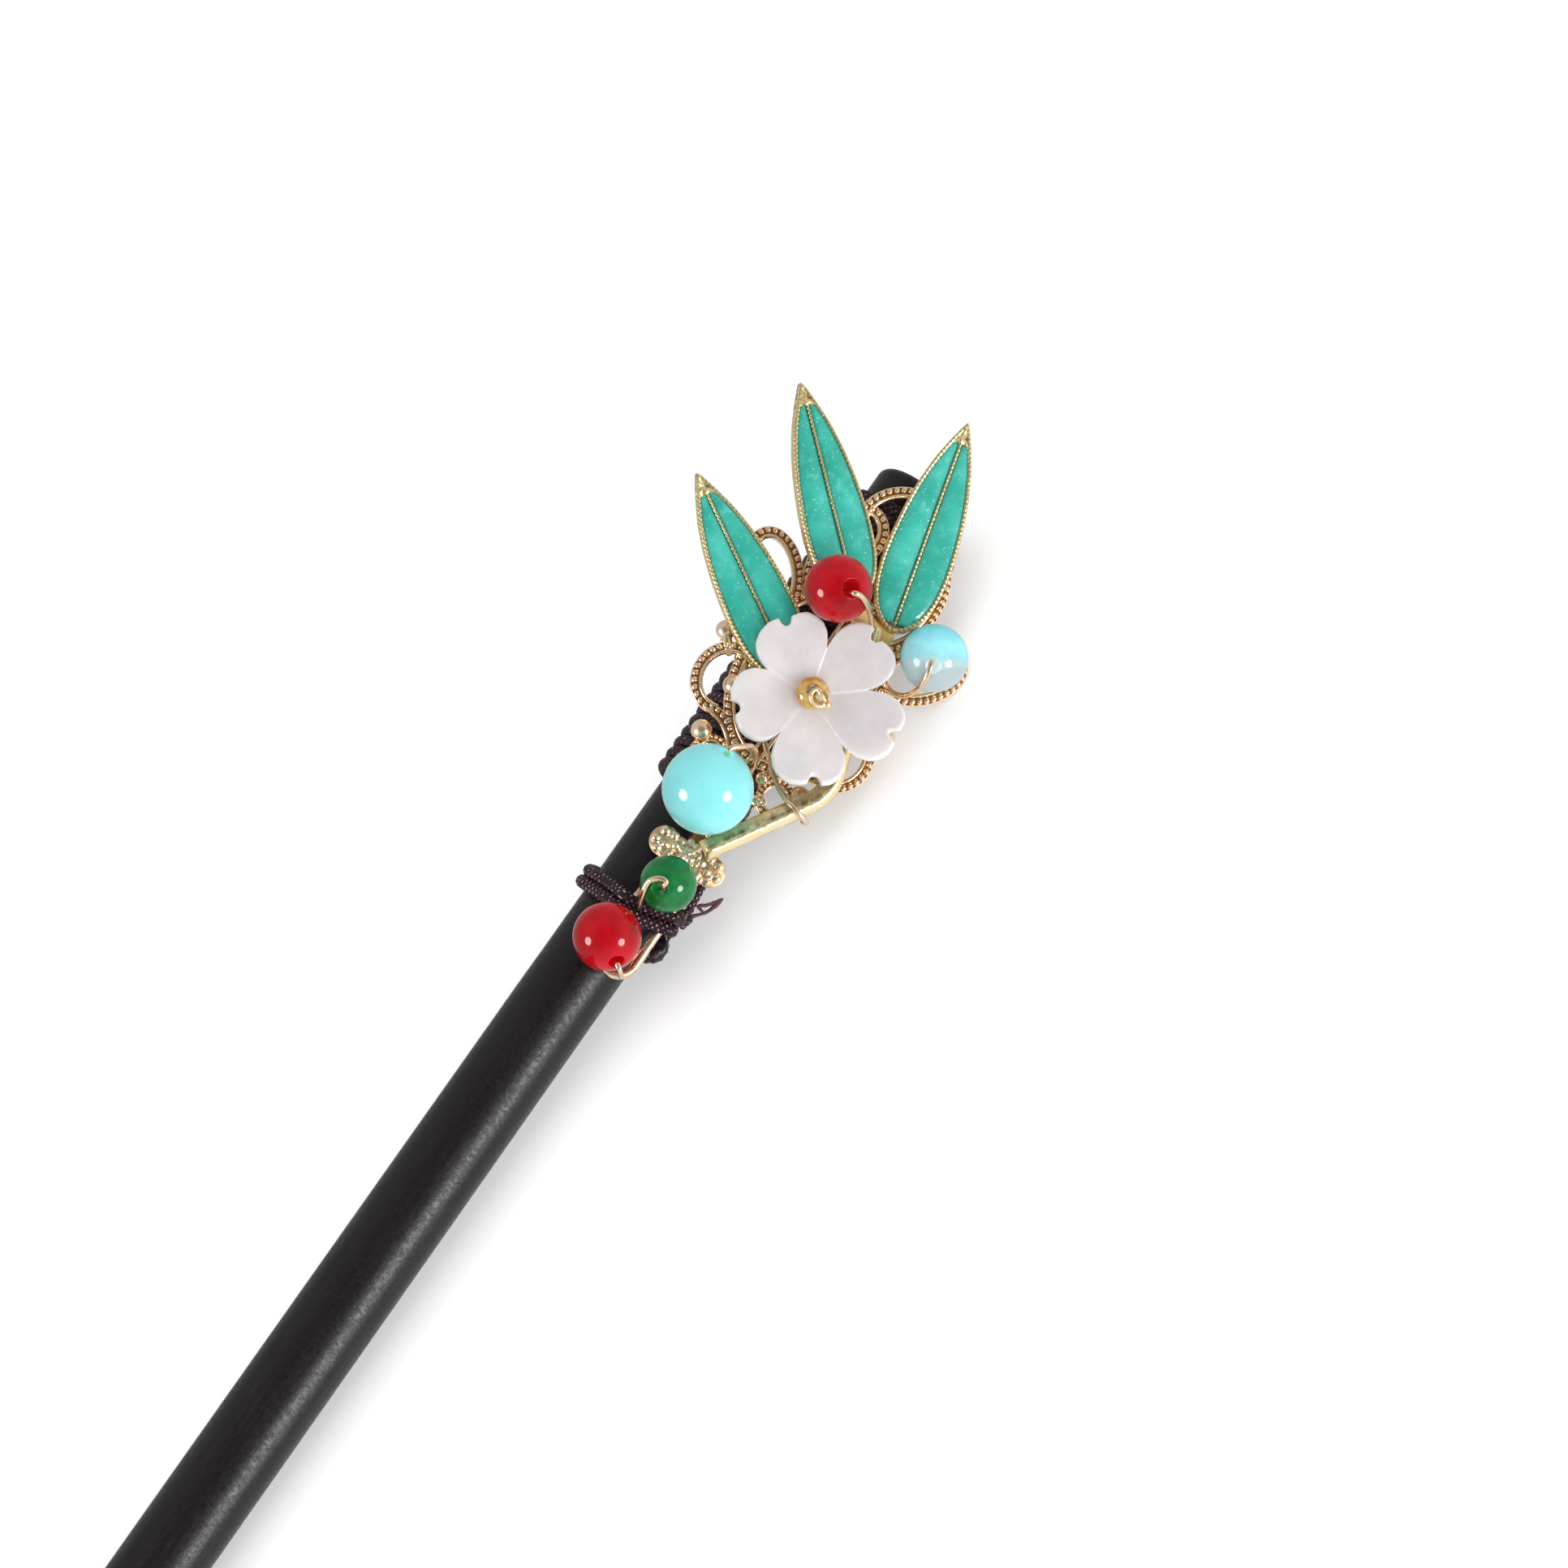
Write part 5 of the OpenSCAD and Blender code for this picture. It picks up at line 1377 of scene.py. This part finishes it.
for name, (at, r, lean, turn, over, landing) in BEADS.items():
    slot, look, aside, rise, wider = BEAD_DETAILS[name]
    lean, turn = math.radians(lean), math.radians(turn)
    piece("drilled_" + name, ["bead_" + name], slot, look,
          [bead(at, r, lean, turn, BEAD_HOLE_R + wider)])
    piece("tie_" + name, ["wire_" + name], "wire", WIRE,
          [bead_wire(at, r, lean, turn, over, landing, aside, rise)])

COIL_R = 0.76
COIL_WIRE_R = 0.19
KNOB_R = 0.42
COIL_Z = SEED_Z + SEED_HEIGHT + SEAT_GAP + WIRE_R
COIL_MIDDLE = np.array([BLOSSOM_AT[0] + 0.7, BLOSSOM_AT[1] - 0.36, COIL_Z + 0.03])


def blossom_wire():
    """The wire up through the seed, its coil and the knob at its end."""
    rise = spline([(*BLOSSOM_AT, LEAF_Z + TWIG_HEIGHT + SEAT_GAP),
                   (*BLOSSOM_AT, BLOSSOM_Z + PETAL_THICKNESS), (*BLOSSOM_AT, COIL_Z - WIRE_R)], 6)
    sweep = np.radians(np.arange(-30, 410, 10))
    coil = COIL_MIDDLE + np.stack([-COIL_R * np.cos(sweep), COIL_R * np.sin(sweep),
                                   0.3 * sweep / TURN + 0.1 * np.cos(sweep)], 1)
    knob = COIL_MIDDLE + (0.88, -0.08, 0.05)
    to_knob = spline([coil[-1], (coil[-1] + knob) / 2 + (0, 0, 0.15), knob], 6)
    return [tube(resampled(np.vstack([rise, coil]), 0.09)[0], COIL_WIRE_R, 14),
            tube(to_knob, COIL_WIRE_R, 12), ball(knob, KNOB_R, 12, 20)]


piece("coil_on_seed", ["wire_blossom"], "wire", COIL_GILT, blossom_wire())
piece("small_pearl", ["wire_blossom"], "pearl", CREAM,
      [ball(COIL_MIDDLE + (0, 0.1, 0.12), KNOB_R, 14, 22)])

STEM_WIRE = ((1.9, -28.6, ON_BASE_Z + 0.3), (2.9, -29.5, ON_BASE_Z + 0.6),
             (4.5, -30.9, ON_BASE_Z + 0.9), (6, -31.8, STEM_TOP - 0.05),
             (7.2, -32.2, STEM_TOP + SEAT_GAP + WIRE_R), (8.3, -32.4, STEM_TOP),
             (8.9, -32.4, STEM_Z + 0.4), (8.6, -32.3, STEM_Z - 0.35))
piece("tie_stem", ["wire_stem"], "wire", WIRE, [tube(spline(STEM_WIRE, 10), WIRE_R, 14)])


# Camera, at the photograph's angle to the ornament's face
TILT = math.radians(13)
IMAGE_ROLL = math.radians(35)
CAMERA_DISTANCE = 500
LOOK_AT = np.array([5.35, -30.6, 6.0])
SENSOR = 36
# a focal length of 7050 pixels, in shares of the picture's 1932
LENS_SHARE = 7050 / 1932

toward = np.array([0, -math.sin(TILT), math.cos(TILT)])
image_along = np.array([0, math.cos(TILT), math.sin(TILT)])
image_across = np.array([1.0, 0, 0])
RIGHT = way(image_along * math.sin(IMAGE_ROLL) + image_across * math.cos(IMAGE_ROLL))
UP = way(image_along * math.cos(IMAGE_ROLL) - image_across * math.sin(IMAGE_ROLL))
TOWARD = way(toward)
MIDDLE = place(LOOK_AT)[0]


def set_place(thing, at, back, upright):
    """Puts it there, with its z axis pointing back and upright near its y axis."""
    side = unit(np.cross(upright, back))
    turn = Matrix(np.stack([side, np.cross(back, side), back], 1).tolist()).to_4x4()
    turn.translation = tuple(at)
    thing.matrix_world = turn


view = bpy.data.cameras.new("camera")
view.sensor_fit = "HORIZONTAL"
view.sensor_width = SENSOR
view.lens = LENS_SHARE * SENSOR
view.clip_start = 0.01
camera = new_object("camera", view)
set_place(camera, place(LOOK_AT + toward * CAMERA_DISTANCE)[0], unit(TOWARD), UP)
bpy.context.scene.camera = camera


# Floor and soft light
FLOOR_HALF = 3.0
BOX_DISTANCE = 0.9
FILL_DISTANCE = 1.2


def make_floor():
    look = Look("pale_floor", (0.92, 0.92, 0.925), 0.85, Specular_IOR_Level=0.15,
                Emission_Color=(1, 1, 1, 1), Emission_Strength=0.3)
    return look.finished(Base_Color=look.ramp(look.noise(160, 2), (0.3, (0.91, 0.91, 0.915)),
                                              (0.7, (0.94, 0.94, 0.942))))


def floor():
    mesh = bpy.data.meshes.new("floor")
    corners = ((-1, -1), (1, -1), (1, 1), (-1, 1))
    mesh.from_pydata([(x * FLOOR_HALF, y * FLOOR_HALF, 0) for x, y in corners], [],
                     [(0, 1, 2, 3)])
    made = new_object("floor", mesh)
    made.data.materials.append(make_floor())
    # the metals mirror the open sky below too, as in a light tent
    made.visible_glossy = False
    made.visible_shadow = False


def soft_box(name, toward_light, distance, size, watts, form):
    toward_light = unit(toward_light)
    lamp = bpy.data.lights.new(name, "AREA")
    lamp.shape = form
    lamp.size = size
    lamp.energy = watts
    made = new_object(name, lamp)
    made.visible_camera = False
    set_place(made, MIDDLE + toward_light * distance, toward_light, (0, 1, 0.1))
    return made


floor()
# two boxes seen only as highlights, and two wide fills seen only as light
for name, toward_light, size, watts in (
        ("left_box", -0.888 * RIGHT - 0.218 * UP + 0.404 * TOWARD, 0.36, 5.6),
        ("right_box", 0.749 * RIGHT - 0.303 * UP + 0.589 * TOWARD, 0.36, 6.4)):
    soft_box(name, toward_light, BOX_DISTANCE, size, watts, "DISK").visible_diffuse = False
for name, toward_light, size, watts in (("top_box", (0.1, 0.25, 1.0), 2.0, 9.4),
                                        ("front_box", (-0.25, -1.0, 0.46), 1.0, 9)):
    soft_box(name, toward_light, FILL_DISTANCE, size, watts, "SQUARE").visible_glossy = False

world = bpy.data.worlds.new("studio")
bpy.context.scene.world = world
world.use_nodes = True
sky = Nodes(world.node_tree)
background = sky.tree.nodes["Background"]
background.inputs["Color"].default_value = (0.97, 0.98, 1.0, 1)


def sky_share(way_to):
    """1 where the sky lies that way, and less the farther from it."""
    return sky.reach(sky.coordinates("Generated"), unit(way_to))


# bright at the lower right of the picture, dark behind the camera
slope = sky.spread(sky_share(0.6 * RIGHT - 0.6 * UP + 0.3 * TOWARD), 0.55, 1.0, -0.5, 0.9)
behind_camera = sky.spread(sky_share(TOWARD), 1.0, 0.28, 0.5, 0.95)
sky.tree.links.new(sky.reckoned("MULTIPLY", slope, behind_camera), background.inputs["Strength"])
bpy.context.scene.view_settings.view_transform = "Standard"
